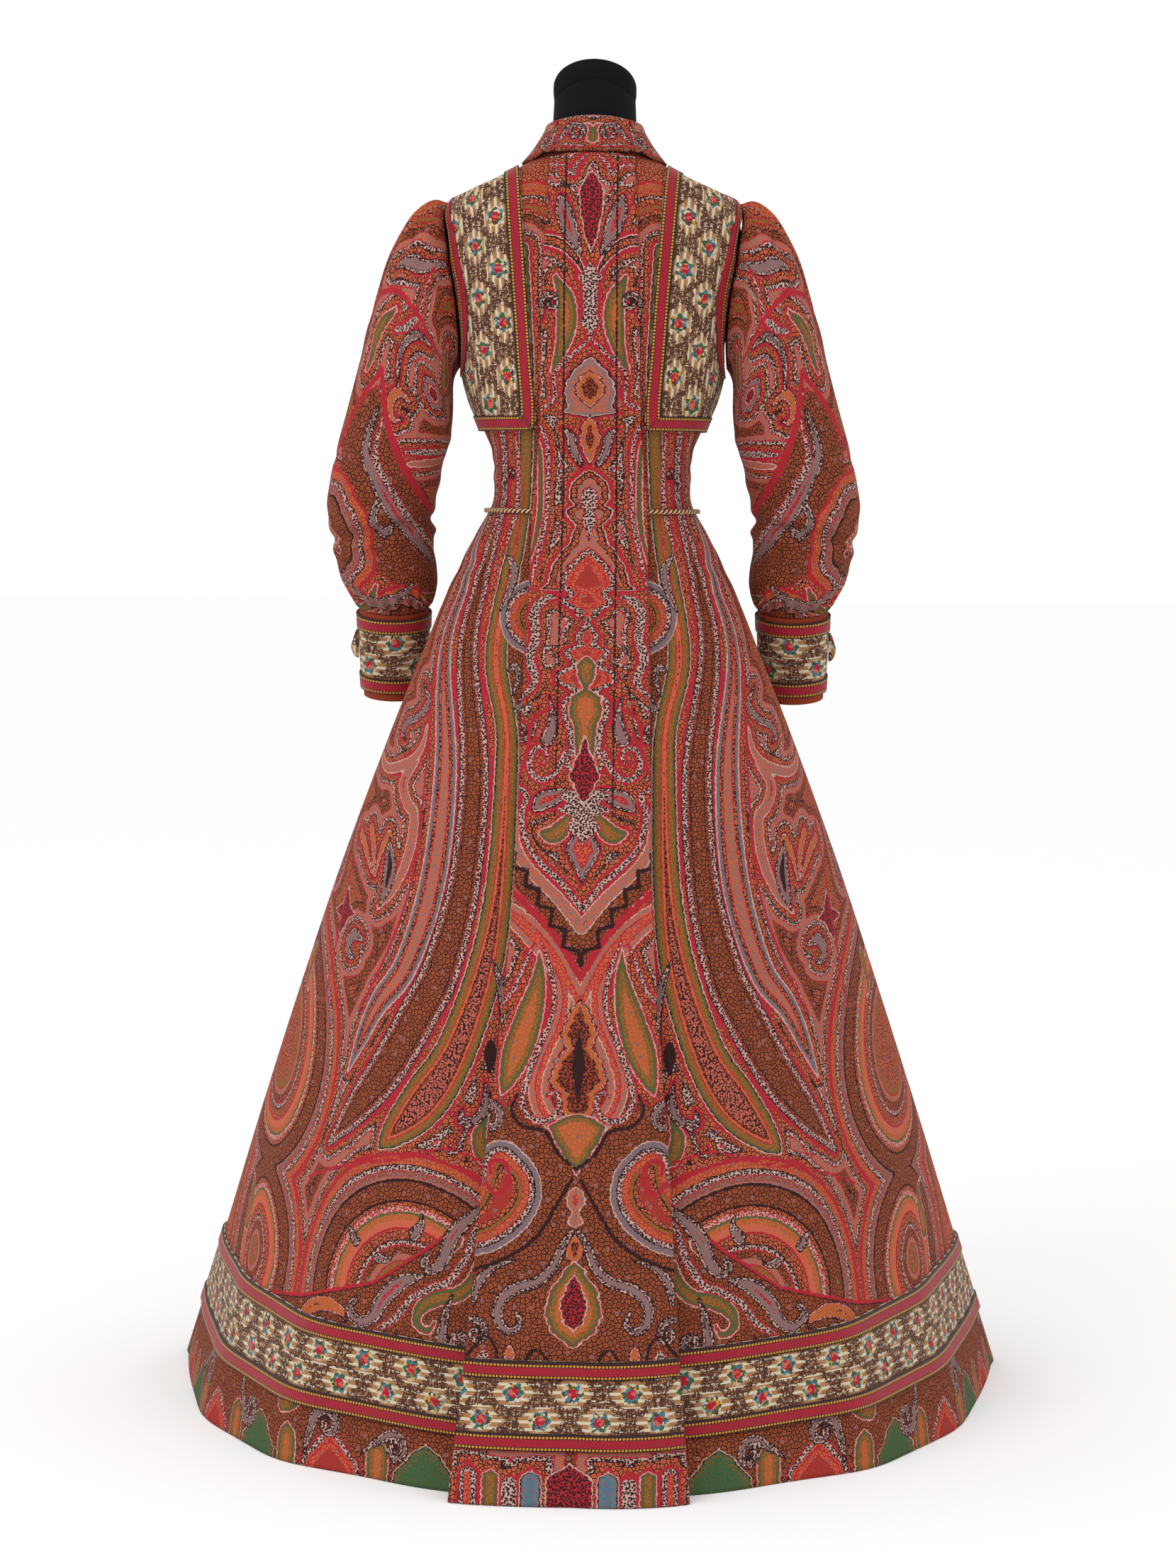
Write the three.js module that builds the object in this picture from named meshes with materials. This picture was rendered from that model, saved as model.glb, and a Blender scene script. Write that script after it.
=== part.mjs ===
// A late nineteenth century house dress of shawl cloth with a train, worn by a limbless dress form on a pole.
// Millimetres, +Z up. The back of the dress faces -Y, its front +Y. The origin is under the stand on the floor.
import * as THREE from "three";

const WALL = 1.8; // the outer cloth with its lining
const TRIM_WALL = 1.5; // flowered band sewn on the panels
const RIBBON_WALL = 1.1;
const SEAM = 0.4; // between two pieces that are sewn edge to edge
const LAY = 0.7; // under a piece that lies on another
const FORM_GAPS = { body: 2.6, shoulder: 7, low: 1330, high: 1381 }; // between the form and the cloth on it
const HEM = 0.5; // the hem's height over the floor

// The body's cross sections. level is the height at the side seam. riseBack and riseFront lift the section at
// centre back and centre front. square is the exponent of the oval, 2 for an ellipse.
const SECTIONS = [
  { level: 0, halfWidth: 478, centreY: 100, back: 640, front: 300, riseBack: 0, riseFront: 0, square: 2 },
  { level: 150, halfWidth: 430, centreY: 80, back: 535, front: 285, riseBack: 0, riseFront: 0, square: 2 },
  { level: 300, halfWidth: 385, centreY: 60, back: 445, front: 265, riseBack: 0, riseFront: 0, square: 2 },
  { level: 450, halfWidth: 339, centreY: 42, back: 362, front: 243, riseBack: 0, riseFront: 0, square: 2 },
  { level: 600, halfWidth: 291, centreY: 28, back: 290, front: 217, riseBack: 0, riseFront: 0, square: 2 },
  { level: 750, halfWidth: 236, centreY: 14, back: 214, front: 184, riseBack: 0, riseFront: 0, square: 2 },
  { level: 850, halfWidth: 196, centreY: 6, back: 166, front: 154, riseBack: 0, riseFront: 0, square: 2 },
  { level: 930, halfWidth: 163, centreY: 2, back: 124, front: 126, riseBack: 0, riseFront: 0, square: 2 },
  { level: 985, halfWidth: 136, centreY: 0, back: 100, front: 108, riseBack: 0, riseFront: 0, square: 2 },
  { level: 1035, halfWidth: 113, centreY: 0, back: 88, front: 98, riseBack: 0, riseFront: 0, square: 2.05 },
  { level: 1075, halfWidth: 114, centreY: 0, back: 90, front: 100, riseBack: 0, riseFront: 0, square: 2.1 },
  { level: 1110, halfWidth: 126, centreY: 0, back: 98, front: 108, riseBack: 0, riseFront: 0, square: 2.15 },
  { level: 1150, halfWidth: 144, centreY: 0, back: 106, front: 118, riseBack: 0, riseFront: 0, square: 2.2 },
  { level: 1180, halfWidth: 151, centreY: 0, back: 110, front: 122, riseBack: 0, riseFront: 0, square: 2.2 },
  { level: 1215, halfWidth: 158, centreY: 0, back: 112, front: 122, riseBack: 5, riseFront: 3, square: 2.2 },
  { level: 1259, halfWidth: 167, centreY: 0, back: 112, front: 118, riseBack: 12, riseFront: 7, square: 2.2 },
  { level: 1304, halfWidth: 174, centreY: 0, back: 107, front: 110, riseBack: 20, riseFront: 10, square: 2.2 },
  { level: 1340, halfWidth: 174, centreY: 0, back: 98, front: 98, riseBack: 27, riseFront: 11, square: 2.2 },
  { level: 1366, halfWidth: 164, centreY: 0, back: 86, front: 86, riseBack: 30, riseFront: 10, square: 2.15 },
  { level: 1382, halfWidth: 128, centreY: 0, back: 78, front: 77, riseBack: 32, riseFront: 4, square: 2.1 },
  { level: 1397, halfWidth: 99, centreY: 0, back: 70, front: 69, riseBack: 28, riseFront: -3, square: 2.05 },
  { level: 1426, halfWidth: 58, centreY: 0, back: 58, front: 59, riseBack: 18, riseFront: -20, square: 2 },
];

// Soft ridges of the skirt, the same on both sides: at is their angle from centre back.
const SKIRT_FOLDS = [
  { at: 20, spread: 7, depth: 9 },
  { at: 40, spread: 6, depth: 8 },
  { at: 61, spread: 7, depth: 7 },
  { at: 100, spread: 8, depth: 7 },
  { at: 128, spread: 8, depth: 9 },
  { at: 152, spread: 8, depth: 9 },
];
const FOLDS_START = 760; // the height where the ridges begin

// Rows of points up the body, by their level at centre back, side seam and centre front.
const ROWS = [
  { name: "hem", back: HEM, side: HEM, front: HEM },
  { name: "bandLow", back: 52, side: 68, front: 60 },
  { name: "ribbonLow", back: 68, side: 86, front: 77 },
  { name: "ribbonHigh", back: 118, side: 141, front: 130 },
  { name: "bandHigh", back: 135, side: 159, front: 147 },
  ...[300, 450, 600, 750, 850, 930].map(level),
  ...[985, 1015, 1045, 1075].map(level),
  { name: "boleroLow", back: 1107, side: 1107, front: 1107 },
  { name: "boleroRibbon", back: 1124, side: 1124, front: 1124 },
  level(1148),
  { name: "boleroSide", back: 1169, side: 1169, front: 1169 },
  { name: "armpit", back: 1180, side: 1180, front: 1180 },
  ...[1194, 1224, 1262, 1302, 1335, 1357].map(level),
  { name: "shoulderTip", back: 1366, side: 1366, front: 1366 },
  level(1381),
  { name: "boleroTop", back: 1397, side: 1397, front: 1397 },
  { name: "neck", back: 1426, side: 1426, front: 1426 },
];

// Armholes, by the levels of their lowest and highest points and their half angles behind and before the seam.
const ARMHOLE = { low: 1180, high: 1366, back: 23, front: 25 };
const BOLERO_ARMHOLE = { low: 1169, high: 1369, back: 27.5, front: 29 };

const PANEL_COLUMNS = 9;
const BOLERO_COLUMNS = 5;
const CENTRE_COLUMNS = 3; // of the panel's columns, those between the centre line and the bolero
const RIBBON_WIDTH = 17;
const BOLERO = { lowEdge: 59, highEdge: 84, lowLevel: 1107, highLevel: 1397, flare: 2.5 };

// The double box pleat down centre back. return is the height of its folded-under edges over the panels, and
// top the height of its upper layer. inner is where the raised middle begins.
const PLEAT = [
  { level: 0, halfWidth: 118, inner: 104, return: 6, top: 30 },
  { level: 104, halfWidth: 109, inner: 94, return: 6, top: 26 },
  { level: 300, halfWidth: 97, inner: 82, return: 6, top: 18 },
  { level: 617, halfWidth: 73, inner: 56, return: 6, top: 12 },
  { level: 815, halfWidth: 68, inner: 49, return: 6, top: 10.5 },
  { level: 960, halfWidth: 63, inner: 44, return: 7, top: 10.5 },
  { level: 1016, halfWidth: 61, inner: 41, return: 7.6, top: 10.8 },
  { level: 1070, halfWidth: 58, inner: 39, return: 3, top: 7 },
  { level: 1110, halfWidth: 56.5, inner: 37, return: 0.8, top: 4.4 },
  { level: 1262, halfWidth: 54, inner: 34, return: 0.7, top: 3.6 },
  { level: 1386, halfWidth: 47, inner: 30, return: 0.7, top: 3.4 },
];
const PLEAT_TOP = 1384;
const PLEAT_SKIPS = [68, 118, 450, 750, 850]; // rows of the panels that the pleat does without
const PLEAT_WALL = 1.6;
const PLEAT_TURN = 26; // how far the folded edges reach back under
const PLEAT_STEP = 1.6; // the middle's height over the sides

// Rings of the right sleeve below the armhole: its outer and inner ends, its middle and its half depth.
const SLEEVE = [
  { outerX: 181, outerZ: 1369, innerX: 157, innerZ: 1174, y: -1, halfDepth: 60, pitch: 0 },
  { outerX: 203, outerZ: 1355, innerX: 160, innerZ: 1166, y: -3, halfDepth: 68, pitch: 0 },
  { outerX: 223, outerZ: 1327, innerX: 161, innerZ: 1157, y: -4, halfDepth: 70, pitch: 0 },
  { outerX: 241, outerZ: 1285, innerX: 161, innerZ: 1146, y: -4, halfDepth: 70, pitch: 0 },
  { outerX: 256, outerZ: 1236, innerX: 161, innerZ: 1131, y: -2, halfDepth: 68, pitch: 0 },
  { outerX: 269, outerZ: 1186, innerX: 163, innerZ: 1110, y: 3, halfDepth: 67, pitch: 2 },
  { outerX: 284, outerZ: 1132, innerX: 169, innerZ: 1083, y: 12, halfDepth: 66, pitch: 5 },
  { outerX: 298, outerZ: 1083, innerX: 177, innerZ: 1057, y: 22, halfDepth: 65, pitch: 8 },
  { outerX: 308, outerZ: 1034, innerX: 184, innerZ: 1022, y: 34, halfDepth: 63, pitch: 11 },
  { outerX: 307, outerZ: 998, innerX: 187, innerZ: 993, y: 43, halfDepth: 61, pitch: 13 },
  { outerX: 301, outerZ: 963, innerX: 184, innerZ: 960, y: 53, halfDepth: 59, pitch: 14 },
  { outerX: 294, outerZ: 935, innerX: 183, innerZ: 933, y: 60, halfDepth: 55, pitch: 14 },
  { outerX: 284, outerZ: 918, innerX: 187, innerZ: 917, y: 65, halfDepth: 48, pitch: 14 },
  { outerX: 275, outerZ: 901.5, innerX: 193, innerZ: 901.5, y: 70.9, halfDepth: 37, pitch: 14 },
];
const SLEEVE_COLUMNS = 28;
const HEAD_GATHERS = { rings: [0, 1.6, 1.8, 1.2, 0.5], halfAngle: 115 };
const CUFF_GATHERS = [1.4, 2, 1.6, 0.8, 0.3]; // from the cuff upwards

// The right cuff, a tapering oval tube along a slanting axis.
const CUFF = {
  topX: 234, topY: 71, topZ: 901, bottomX: 234, bottomY: 99, bottomZ: 798,
  topHalf: 41, bottomHalf: 37.5, topDepth: 37, bottomDepth: 33.5, pitch: 14,
};
const CUFF_COLUMNS = 20;
const CUFF_BAND = { from: 0.06, to: 0.9 };
const CUFF_RIBBONS = [
  { name: "upper", from: 0.05, to: 0.22 },
  { name: "lower", from: 0.74, to: 0.91 },
];
const CUFF_TAB = { reach: 11, height: 34, thick: 2.4, corner: 5, at: 0.42 };

// The turned-down collar, from its roll to its lower edge on the shoulders, and the stand inside it.
const COLLAR_WALL = 2;
const COLLAR_COLUMNS = 24;
const COLLAR_HALF_ANGLE = 168;
const COLLAR = [
  { halfWidth: 49.5, back: 47.5, front: 50, zBack: 1464, zSide: 1458, zFront: 1434 },
  { halfWidth: 53, back: 51.5, front: 54, zBack: 1463.5, zSide: 1457, zFront: 1433 },
  { halfWidth: 59, back: 61, front: 60, zBack: 1455, zSide: 1446, zFront: 1423 },
  { halfWidth: 69, back: 76, front: 70, zBack: 1437, zSide: 1430, zFront: 1408 },
];
const COLLAR_EDGE = { back: 1384, side: 1409, front: 1400, over: 3.2, overPleat: 9.8, pleatAngle: 42 };
const STAND = { halfWidth: 50.4, back: 48.4, front: 51, zBack: 1459.5, zSide: 1453.5, zFront: 1429.5 };

const CORD = { level: 1016, radius: 2.8, sides: 6, steps: 38, knotHalf: 10, knotRadius: 6.5 };
const PLACKET = { halfWidth: 15, lowRow: "bandHigh", highRow: "neck" };

const NECK = [
  { halfWidth: 48.1, back: 46.1, front: 48.6, zBack: 1459, zSide: 1453, zFront: 1429 },
  { halfWidth: 46.6, back: 45, front: 47, zBack: 1505, zSide: 1482, zFront: 1458 },
];
const NECK_CAP = { radius: 47.5, height: 1499, tilt: 30, thick: 9, dome: 7 };
const FORM_BOTTOM = 850;
const FORM_SKIPS = [1124, 1169, 1194, 1262]; // rows of the panels that the form does without
const FORM_COLUMNS = 18;
const POLE = { radius: 16, bottom: 14.3, sides: 14 };
const BASE = { radius: 185, thick: 14, rim: 4, sides: 28 };

const COLOURS = {
  shawl: { color: 0xa8452f, roughness: 0.85 },
  flowered: { color: 0xcdb791, roughness: 0.8 },
  ribbon: { color: 0xa3182a, roughness: 0.5 },
  cord: { color: 0xb08b4f, roughness: 0.5 },
  form: { color: 0x17181c, roughness: 0.9 },
  stand: { color: 0x2a2a2c, roughness: 0.45, metalness: 0.6 },
};

const radians = THREE.MathUtils.degToRad;
const inDegrees = THREE.MathUtils.radToDeg;

function level(z) {
  return { name: "", back: z, side: z, front: z };
}

// A smooth curve through a table's rows that doesn't overshoot them.
function curveOf(table, key, along) {
  const xs = table.map((row) => row[along]);
  const ys = table.map((row) => row[key]);
  const slopes = xs.slice(1).map((x, i) => (ys[i + 1] - ys[i]) / (x - xs[i]));
  const tangents = xs.map((_, i) => {
    const a = slopes[Math.max(i - 1, 0)];
    const b = slopes[Math.min(i, slopes.length - 1)];
    return a * b <= 0 ? 0 : (2 * a * b) / (a + b);
  });
  return (x) => {
    const at = THREE.MathUtils.clamp(x, xs[0], xs[xs.length - 1]);
    let i = 0;
    while (i < xs.length - 2 && at > xs[i + 1]) i++;
    const span = xs[i + 1] - xs[i];
    const t = (at - xs[i]) / span;
    const h = t * t * (3 - 2 * t);
    return (
      ys[i] * (1 - h) + ys[i + 1] * h +
      span * (tangents[i] * t * (1 - t) ** 2 - tangents[i + 1] * t * t * (1 - t))
    );
  };
}

const body = {};
for (const key of ["halfWidth", "centreY", "back", "front", "riseBack", "riseFront", "square"])
  body[key] = curveOf(SECTIONS, key, "level");
const pleat = {};
for (const key of ["halfWidth", "inner", "return", "top"]) pleat[key] = curveOf(PLEAT, key, "level");

// Adds up the skirt's ridges at an angle from centre back.
function foldAt(angle, height) {
  const fade = THREE.MathUtils.clamp(1 - height / FOLDS_START, 0, 1) ** 1.4;
  const side = Math.abs(angle);
  return fade * SKIRT_FOLDS.reduce((sum, f) => sum + f.depth * Math.exp(-(((side - f.at) / f.spread) ** 2)), 0);
}

// A point of the body's outer surface. The angle runs from centre back (0) over the side (90) to centre front.
function skin(angle, at) {
  const turn = radians(angle);
  const power = 2 / body.square(at);
  const s = Math.sin(turn);
  const c = -Math.cos(turn);
  const fold = foldAt(angle, at);
  const x = body.halfWidth(at) * Math.sign(s) * Math.abs(s) ** power + fold * s;
  const reach = c < 0 ? body.back(at) : body.front(at);
  const rise = (c < 0 ? body.riseBack(at) : body.riseFront(at)) * c * c;
  const y = body.centreY(at) + reach * Math.sign(c) * Math.abs(c) ** power + fold * c;
  return new THREE.Vector3(x, y, at + rise);
}

// The same point moved out by a distance square to the surface. Below the bust it moves level.
function bodyPoint(angle, at, out = 0) {
  const point = skin(angle, at);
  if (!out) return point;
  const across = skin(angle + 0.6, at).sub(skin(angle - 0.6, at));
  const up = skin(angle, at + 1).sub(skin(angle, at - 1));
  const normal = across.cross(up).normalize();
  const upright = THREE.MathUtils.smoothstep(at, 1080, 1240);
  const way = new THREE.Vector3(normal.x, normal.y, normal.z * upright);
  return point.addScaledVector(way, out / way.dot(normal));
}

function rowLevel(row, angle) {
  const c = Math.cos(radians(angle));
  const middle = c > 0 ? row.back : row.front;
  return row.side + (middle - row.side) * c * c;
}

// A closed wall from two grids of points, outer and inner, over the cells that covers() chooses.
function wall(outer, inner, { ring = false, covers = () => true } = {}) {
  const rows = outer.length - 1;
  const columns = ring ? outer[0].length : outer[0].length - 1;
  const width = outer[0].length;
  const points = [...outer.flat(), ...inner.flat()];
  const half = outer.length * width;
  const at = (i, j, side) => side * half + i * width + (j % width);
  const has = (i, j) => {
    const column = ring ? (j + columns) % columns : j;
    return i >= 0 && i < rows && column >= 0 && column < columns && covers(i, column);
  };
  const faces = [];
  const quad = (a, b, c, d) => faces.push(a, b, c, a, c, d);
  for (let i = 0; i < rows; i++)
    for (let j = 0; j < columns; j++) {
      if (!has(i, j)) continue;
      quad(at(i, j, 0), at(i, j + 1, 0), at(i + 1, j + 1, 0), at(i + 1, j, 0));
      quad(at(i, j, 1), at(i + 1, j, 1), at(i + 1, j + 1, 1), at(i, j + 1, 1));
      if (!has(i - 1, j)) quad(at(i, j, 0), at(i, j, 1), at(i, j + 1, 1), at(i, j + 1, 0));
      if (!has(i + 1, j)) quad(at(i + 1, j, 0), at(i + 1, j + 1, 0), at(i + 1, j + 1, 1), at(i + 1, j, 1));
      if (!has(i, j - 1)) quad(at(i, j, 0), at(i + 1, j, 0), at(i + 1, j, 1), at(i, j, 1));
      if (!has(i, j + 1)) quad(at(i, j + 1, 0), at(i, j + 1, 1), at(i + 1, j + 1, 1), at(i + 1, j + 1, 0));
    }
  return solid(points, faces);
}

// A closed solid from rings of points, with a fan over each end or, where looped, with none.
function loft(rings, { looped = false } = {}) {
  const width = rings[0].length;
  const points = rings.flat();
  const faces = [];
  const spans = looped ? rings.length : rings.length - 1;
  for (let i = 0; i < spans; i++)
    for (let j = 0; j < width; j++) {
      const next = ((i + 1) % rings.length) * width;
      const a = i * width + j;
      const b = i * width + ((j + 1) % width);
      const c = next + ((j + 1) % width);
      const d = next + j;
      faces.push(a, b, c, a, c, d);
    }
  if (!looped)
    for (const [ring, flip] of [[0, true], [rings.length - 1, false]]) {
      const middle = rings[ring].reduce((sum, p) => sum.add(p), new THREE.Vector3()).divideScalar(width);
      const hub = points.push(middle) - 1;
      for (let j = 0; j < width; j++) {
        const a = ring * width + j;
        const b = ring * width + ((j + 1) % width);
        faces.push(...(flip ? [hub, b, a] : [hub, a, b]));
      }
    }
  return solid(points, faces);
}

function solid(points, faces) {
  const geometry = new THREE.BufferGeometry().setFromPoints(points);
  geometry.setIndex(faces);
  geometry.computeVertexNormals();
  return geometry;
}

// Mirrors grids of the right-hand side to the left, keeping the columns in outward-facing order.
function sided(grid, side) {
  return side > 0 ? grid : grid.map((row) => row.map((p) => new THREE.Vector3(-p.x, p.y, p.z)).reverse());
}

function sheetOf(angles, rows, out, thick, side, options) {
  const grid = (height) =>
    rows.map((row) => angles(row).map((angle) => bodyPoint(angle, rowLevel(row, angle), height(row, angle))));
  const outer = sided(grid((row, angle) => out(row, angle) + thick), side);
  return wall(outer, sided(grid(out), side), options);
}

function spread(from, to, count) {
  return Array.from({ length: count + 1 }, (_, i) => from + ((to - from) * i) / count);
}

// The angle that an armhole takes from the panels at a level.
function holeAngle(hole, at, part) {
  const middle = (hole.low + hole.high) / 2;
  const reach = (at - middle) / ((hole.high - hole.low) / 2);
  return Math.abs(reach) >= 1 ? 0 : hole[part] * Math.sqrt(1 - reach * reach);
}

function seamAngle(at) {
  return inDegrees(SEAM / 2 / body.halfWidth(at));
}

function rowsBetween(low, high) {
  const from = ROWS.findIndex((row) => row.name === low);
  return ROWS.slice(from, ROWS.findIndex((row) => row.name === high) + 1);
}

// Angles of a panel's columns, from its centre line to its side seam or armhole. Where a bolero lies on the panel,
// they follow the bolero's own.
function panelAngles(part) {
  return (row) => {
    const gap = seamAngle(row.side);
    const edge = 90 - gap - holeAngle(ARMHOLE, row.side, part);
    const under = row.side >= BOLERO.lowLevel && row.side <= BOLERO.highLevel;
    const bolero = boleroAnglesFromCentre(row, part);
    const last = Math.min(bolero.at(-1), edge - 0.9);
    const followed = [...spread(gap, bolero[0], CENTRE_COLUMNS), ...bolero.slice(1, -1), last, edge];
    const angles = under ? followed : spread(gap, edge, PANEL_COLUMNS);
    return part === "back" ? angles : angles.map((angle) => 180 - angle).reverse();
  };
}

// The angle of a point at a distance from the centre line, measured along X.
function angleOfX(x, at) {
  const share = Math.min(x / body.halfWidth(at), 1);
  return inDegrees(Math.asin(share ** (body.square(at) / 2)));
}

function boleroEdge(at) {
  const share = (at - BOLERO.lowLevel) / (BOLERO.highLevel - BOLERO.lowLevel);
  return THREE.MathUtils.lerp(BOLERO.lowEdge, BOLERO.highEdge, THREE.MathUtils.clamp(share, 0, 1));
}

// Bolero columns: a ribbon's width at each side and the rest shared between, from centre to armhole.
function boleroAnglesFromCentre(row, part) {
  const at = row.side;
  const inner = angleOfX(boleroEdge(at), at);
  const ribbon = angleOfX(Math.min(boleroEdge(at) + RIBBON_WIDTH, body.halfWidth(at) - 1), at);
  const outer = 90 - seamAngle(at) - holeAngle(BOLERO_ARMHOLE, at, part);
  const edge = Math.max(outer - inDegrees(RIBBON_WIDTH / body.halfWidth(at)), ribbon + 3);
  return [inner, ...spread(ribbon, edge, BOLERO_COLUMNS - 2), Math.max(outer, edge + 3)];
}

function boleroAngles(part) {
  return (row) => {
    const angles = boleroAnglesFromCentre(row, part);
    return part === "back" ? angles : angles.map((angle) => 180 - angle).reverse();
  };
}

function pleatPoint(x, at, out) {
  return bodyPoint(Math.sign(x) * angleOfX(Math.abs(x), at), at, out);
}

// The pleat's section at a level, as places across and heights over the panels, from one edge to the other.
function pleatSection(at) {
  const w = pleat.halfWidth(at);
  const inner = pleat.inner(at);
  const low = pleat.return(at);
  const high = pleat.top(at);
  const t = PLEAT_WALL;
  const middle = (low + high + t) / 2;
  const upper = [
    [w - PLEAT_TURN, low], [w - 3, low], [w, middle], [w - 3, high + t],
    [inner + 2, high + t], [inner - 2, high + t + PLEAT_STEP], [inner / 2, high + t + PLEAT_STEP],
  ];
  const under = [
    [inner / 2, high + PLEAT_STEP], [inner - 2, high + PLEAT_STEP], [inner + 2, high],
    [w - 3.6, high], [w - t - 0.2, middle], [w - 3.6, low + t], [w - PLEAT_TURN, low + t],
  ];
  const left = ([x, h]) => [-x, h];
  return [...upper, ...[...upper].reverse().map(left), ...[...under].reverse().map(left), ...under];
}

function pleatMesh() {
  const rows = ROWS.filter((row) => row.back < PLEAT_TOP && !PLEAT_SKIPS.includes(row.back)).map((row) => row.back);
  const rings = [...rows, PLEAT_TOP].map((at) => pleatSection(at).map(([x, h]) => pleatPoint(x, at, h)));
  const outline = pleatSection(PLEAT_TOP).map(([x, h]) => new THREE.Vector2(x, h));
  const cap = THREE.ShapeUtils.triangulateShape(outline, []);
  const width = rings[0].length;
  const last = (rings.length - 1) * width;
  const faces = [];
  for (let i = 0; i < rings.length - 1; i++)
    for (let j = 0; j < width; j++) {
      const a = i * width + j;
      const b = i * width + ((j + 1) % width);
      faces.push(a, a + width, b, b, a + width, b + width);
    }
  for (const [a, b, c] of cap) faces.push(a, b, c, last + a, last + c, last + b);
  return solid(rings.flat(), faces);
}

// A strip across the pleat's upper layer, over the step of its raised middle.
function pleatStrip(lowRow, highRow, over, thick) {
  const rows = rowsBetween(lowRow, highRow).map((row) => row.back);
  const grid = (extra) =>
    rows.map((at) => {
      const w = pleat.halfWidth(at) - 2.5;
      const inner = pleat.inner(at);
      const half = [[inner / 2, PLEAT_STEP], [inner - 1.6, PLEAT_STEP], [inner + 2.4, 0], [w, 0]];
      const places = [...half.map(([x, h]) => [-x, h]).reverse(), ...half];
      return places.map(([x, h]) => pleatPoint(x, at, pleat.top(at) + PLEAT_WALL + h + over + extra));
    });
  return wall(grid(thick), grid(0));
}

// Points of the right armhole's edge, from the shoulder tip backwards round to it again.
function armholePoint(turn, out) {
  const middle = (ARMHOLE.low + ARMHOLE.high) / 2;
  const at = middle + ((ARMHOLE.high - ARMHOLE.low) / 2) * Math.cos(turn);
  const s = Math.sin(turn);
  return bodyPoint(90 - (s > 0 ? ARMHOLE.back : ARMHOLE.front) * s, at, out);
}

function sleeveRing(ring, gather) {
  const outer = new THREE.Vector3(ring.outerX, ring.y, ring.outerZ);
  const inner = new THREE.Vector3(ring.innerX, ring.y, ring.innerZ);
  const centre = outer.clone().add(inner).divideScalar(2);
  const axis = outer.clone().sub(inner).divideScalar(2);
  const deep = new THREE.Vector3(0, -Math.cos(radians(ring.pitch)), -Math.sin(radians(ring.pitch)));
  return (turn, column, out) => {
    const point = axis.clone().multiplyScalar(Math.cos(turn)).addScaledVector(deep, ring.halfDepth * Math.sin(turn));
    point.setLength(point.length() + out + gather(turn, column));
    return point.add(centre);
  };
}

function sleeveMesh(side) {
  const turns = spread(2 * Math.PI, 0, SLEEVE_COLUMNS).slice(0, -1);
  const wave = (column) => (column % 2 ? -1 : 1);
  const grid = (out) => {
    const first = turns.map((turn) => armholePoint(turn, LAY + out + WALL));
    const rest = SLEEVE.map((ring, i) => {
      const head = HEAD_GATHERS.rings[i + 1] ?? 0;
      const cuff = CUFF_GATHERS[SLEEVE.length - 1 - i] ?? 0;
      const gather = (turn, column) => {
        const top = Math.cos(turn) > Math.cos(radians(HEAD_GATHERS.halfAngle)) ? head : 0;
        return (top + cuff) * wave(column);
      };
      const place = sleeveRing(ring, gather);
      return turns.map((turn, column) => place(turn, column, out));
    });
    return [first, ...rest].reverse();
  };
  const outer = sided(grid(0), side);
  return wall(outer, sided(grid(-WALL), side), { ring: true });
}

function cuffPoint(turn, share, out) {
  const lerp = THREE.MathUtils.lerp;
  const half = lerp(CUFF.topHalf, CUFF.bottomHalf, share) + out;
  const depth = lerp(CUFF.topDepth, CUFF.bottomDepth, share) + out;
  const tip = radians(CUFF.pitch);
  return new THREE.Vector3(
    lerp(CUFF.topX, CUFF.bottomX, share) + half * Math.cos(turn),
    lerp(CUFF.topY, CUFF.bottomY, share) - depth * Math.sin(turn) * Math.cos(tip),
    lerp(CUFF.topZ, CUFF.bottomZ, share) - depth * Math.sin(turn) * Math.sin(tip),
  );
}

function cuffTube(shares, out, thick, side) {
  const turns = spread(2 * Math.PI, 0, CUFF_COLUMNS).slice(0, -1);
  const grid = (height) => shares.map((share) => turns.map((turn) => cuffPoint(turn, share, height))).reverse();
  return wall(sided(grid(out + thick), side), sided(grid(out), side), { ring: true });
}

function cuffTab(side) {
  const { reach, height, thick, corner, at } = CUFF_TAB;
  const shape = new THREE.Shape();
  shape.moveTo(0, -height / 2);
  shape.lineTo(reach - corner, -height / 2);
  shape.quadraticCurveTo(reach, -height / 2, reach, -height / 2 + corner);
  shape.lineTo(reach, height / 2 - corner);
  shape.quadraticCurveTo(reach, height / 2, reach - corner, height / 2);
  shape.lineTo(0, height / 2);
  const tab = new THREE.ExtrudeGeometry(shape, { depth: thick, bevelEnabled: false, curveSegments: 3 });
  const root = cuffPoint(0, at, LAY + TRIM_WALL + LAY + 0.2);
  tab.translate(0, 0, -thick / 2).rotateX(Math.PI / 2).translate(root.x, root.y, root.z);
  return side < 0 ? turnedOut(tab.scale(-1, 1, 1)) : tab;
}

// Turns each triangle of an unindexed mesh round after a mirroring.
function turnedOut(geometry) {
  const at = geometry.getAttribute("position");
  for (let i = 0; i < at.count; i += 3) {
    const a = new THREE.Vector3().fromBufferAttribute(at, i + 1);
    const b = new THREE.Vector3().fromBufferAttribute(at, i + 2);
    at.setXYZ(i + 1, b.x, b.y, b.z);
    at.setXYZ(i + 2, a.x, a.y, a.z);
  }
  return geometry;
}

// A point of a level oval given by a row of the collar's tables.
function ovalPoint(row, angle, out = 0) {
  const c = -Math.cos(radians(angle));
  const middle = c < 0 ? row.zBack : row.zFront;
  return new THREE.Vector3(
    (row.halfWidth + out) * Math.sin(radians(angle)),
    ((c < 0 ? row.back : row.front) + out) * c,
    row.zSide + (middle - row.zSide) * c * c,
  );
}

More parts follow.
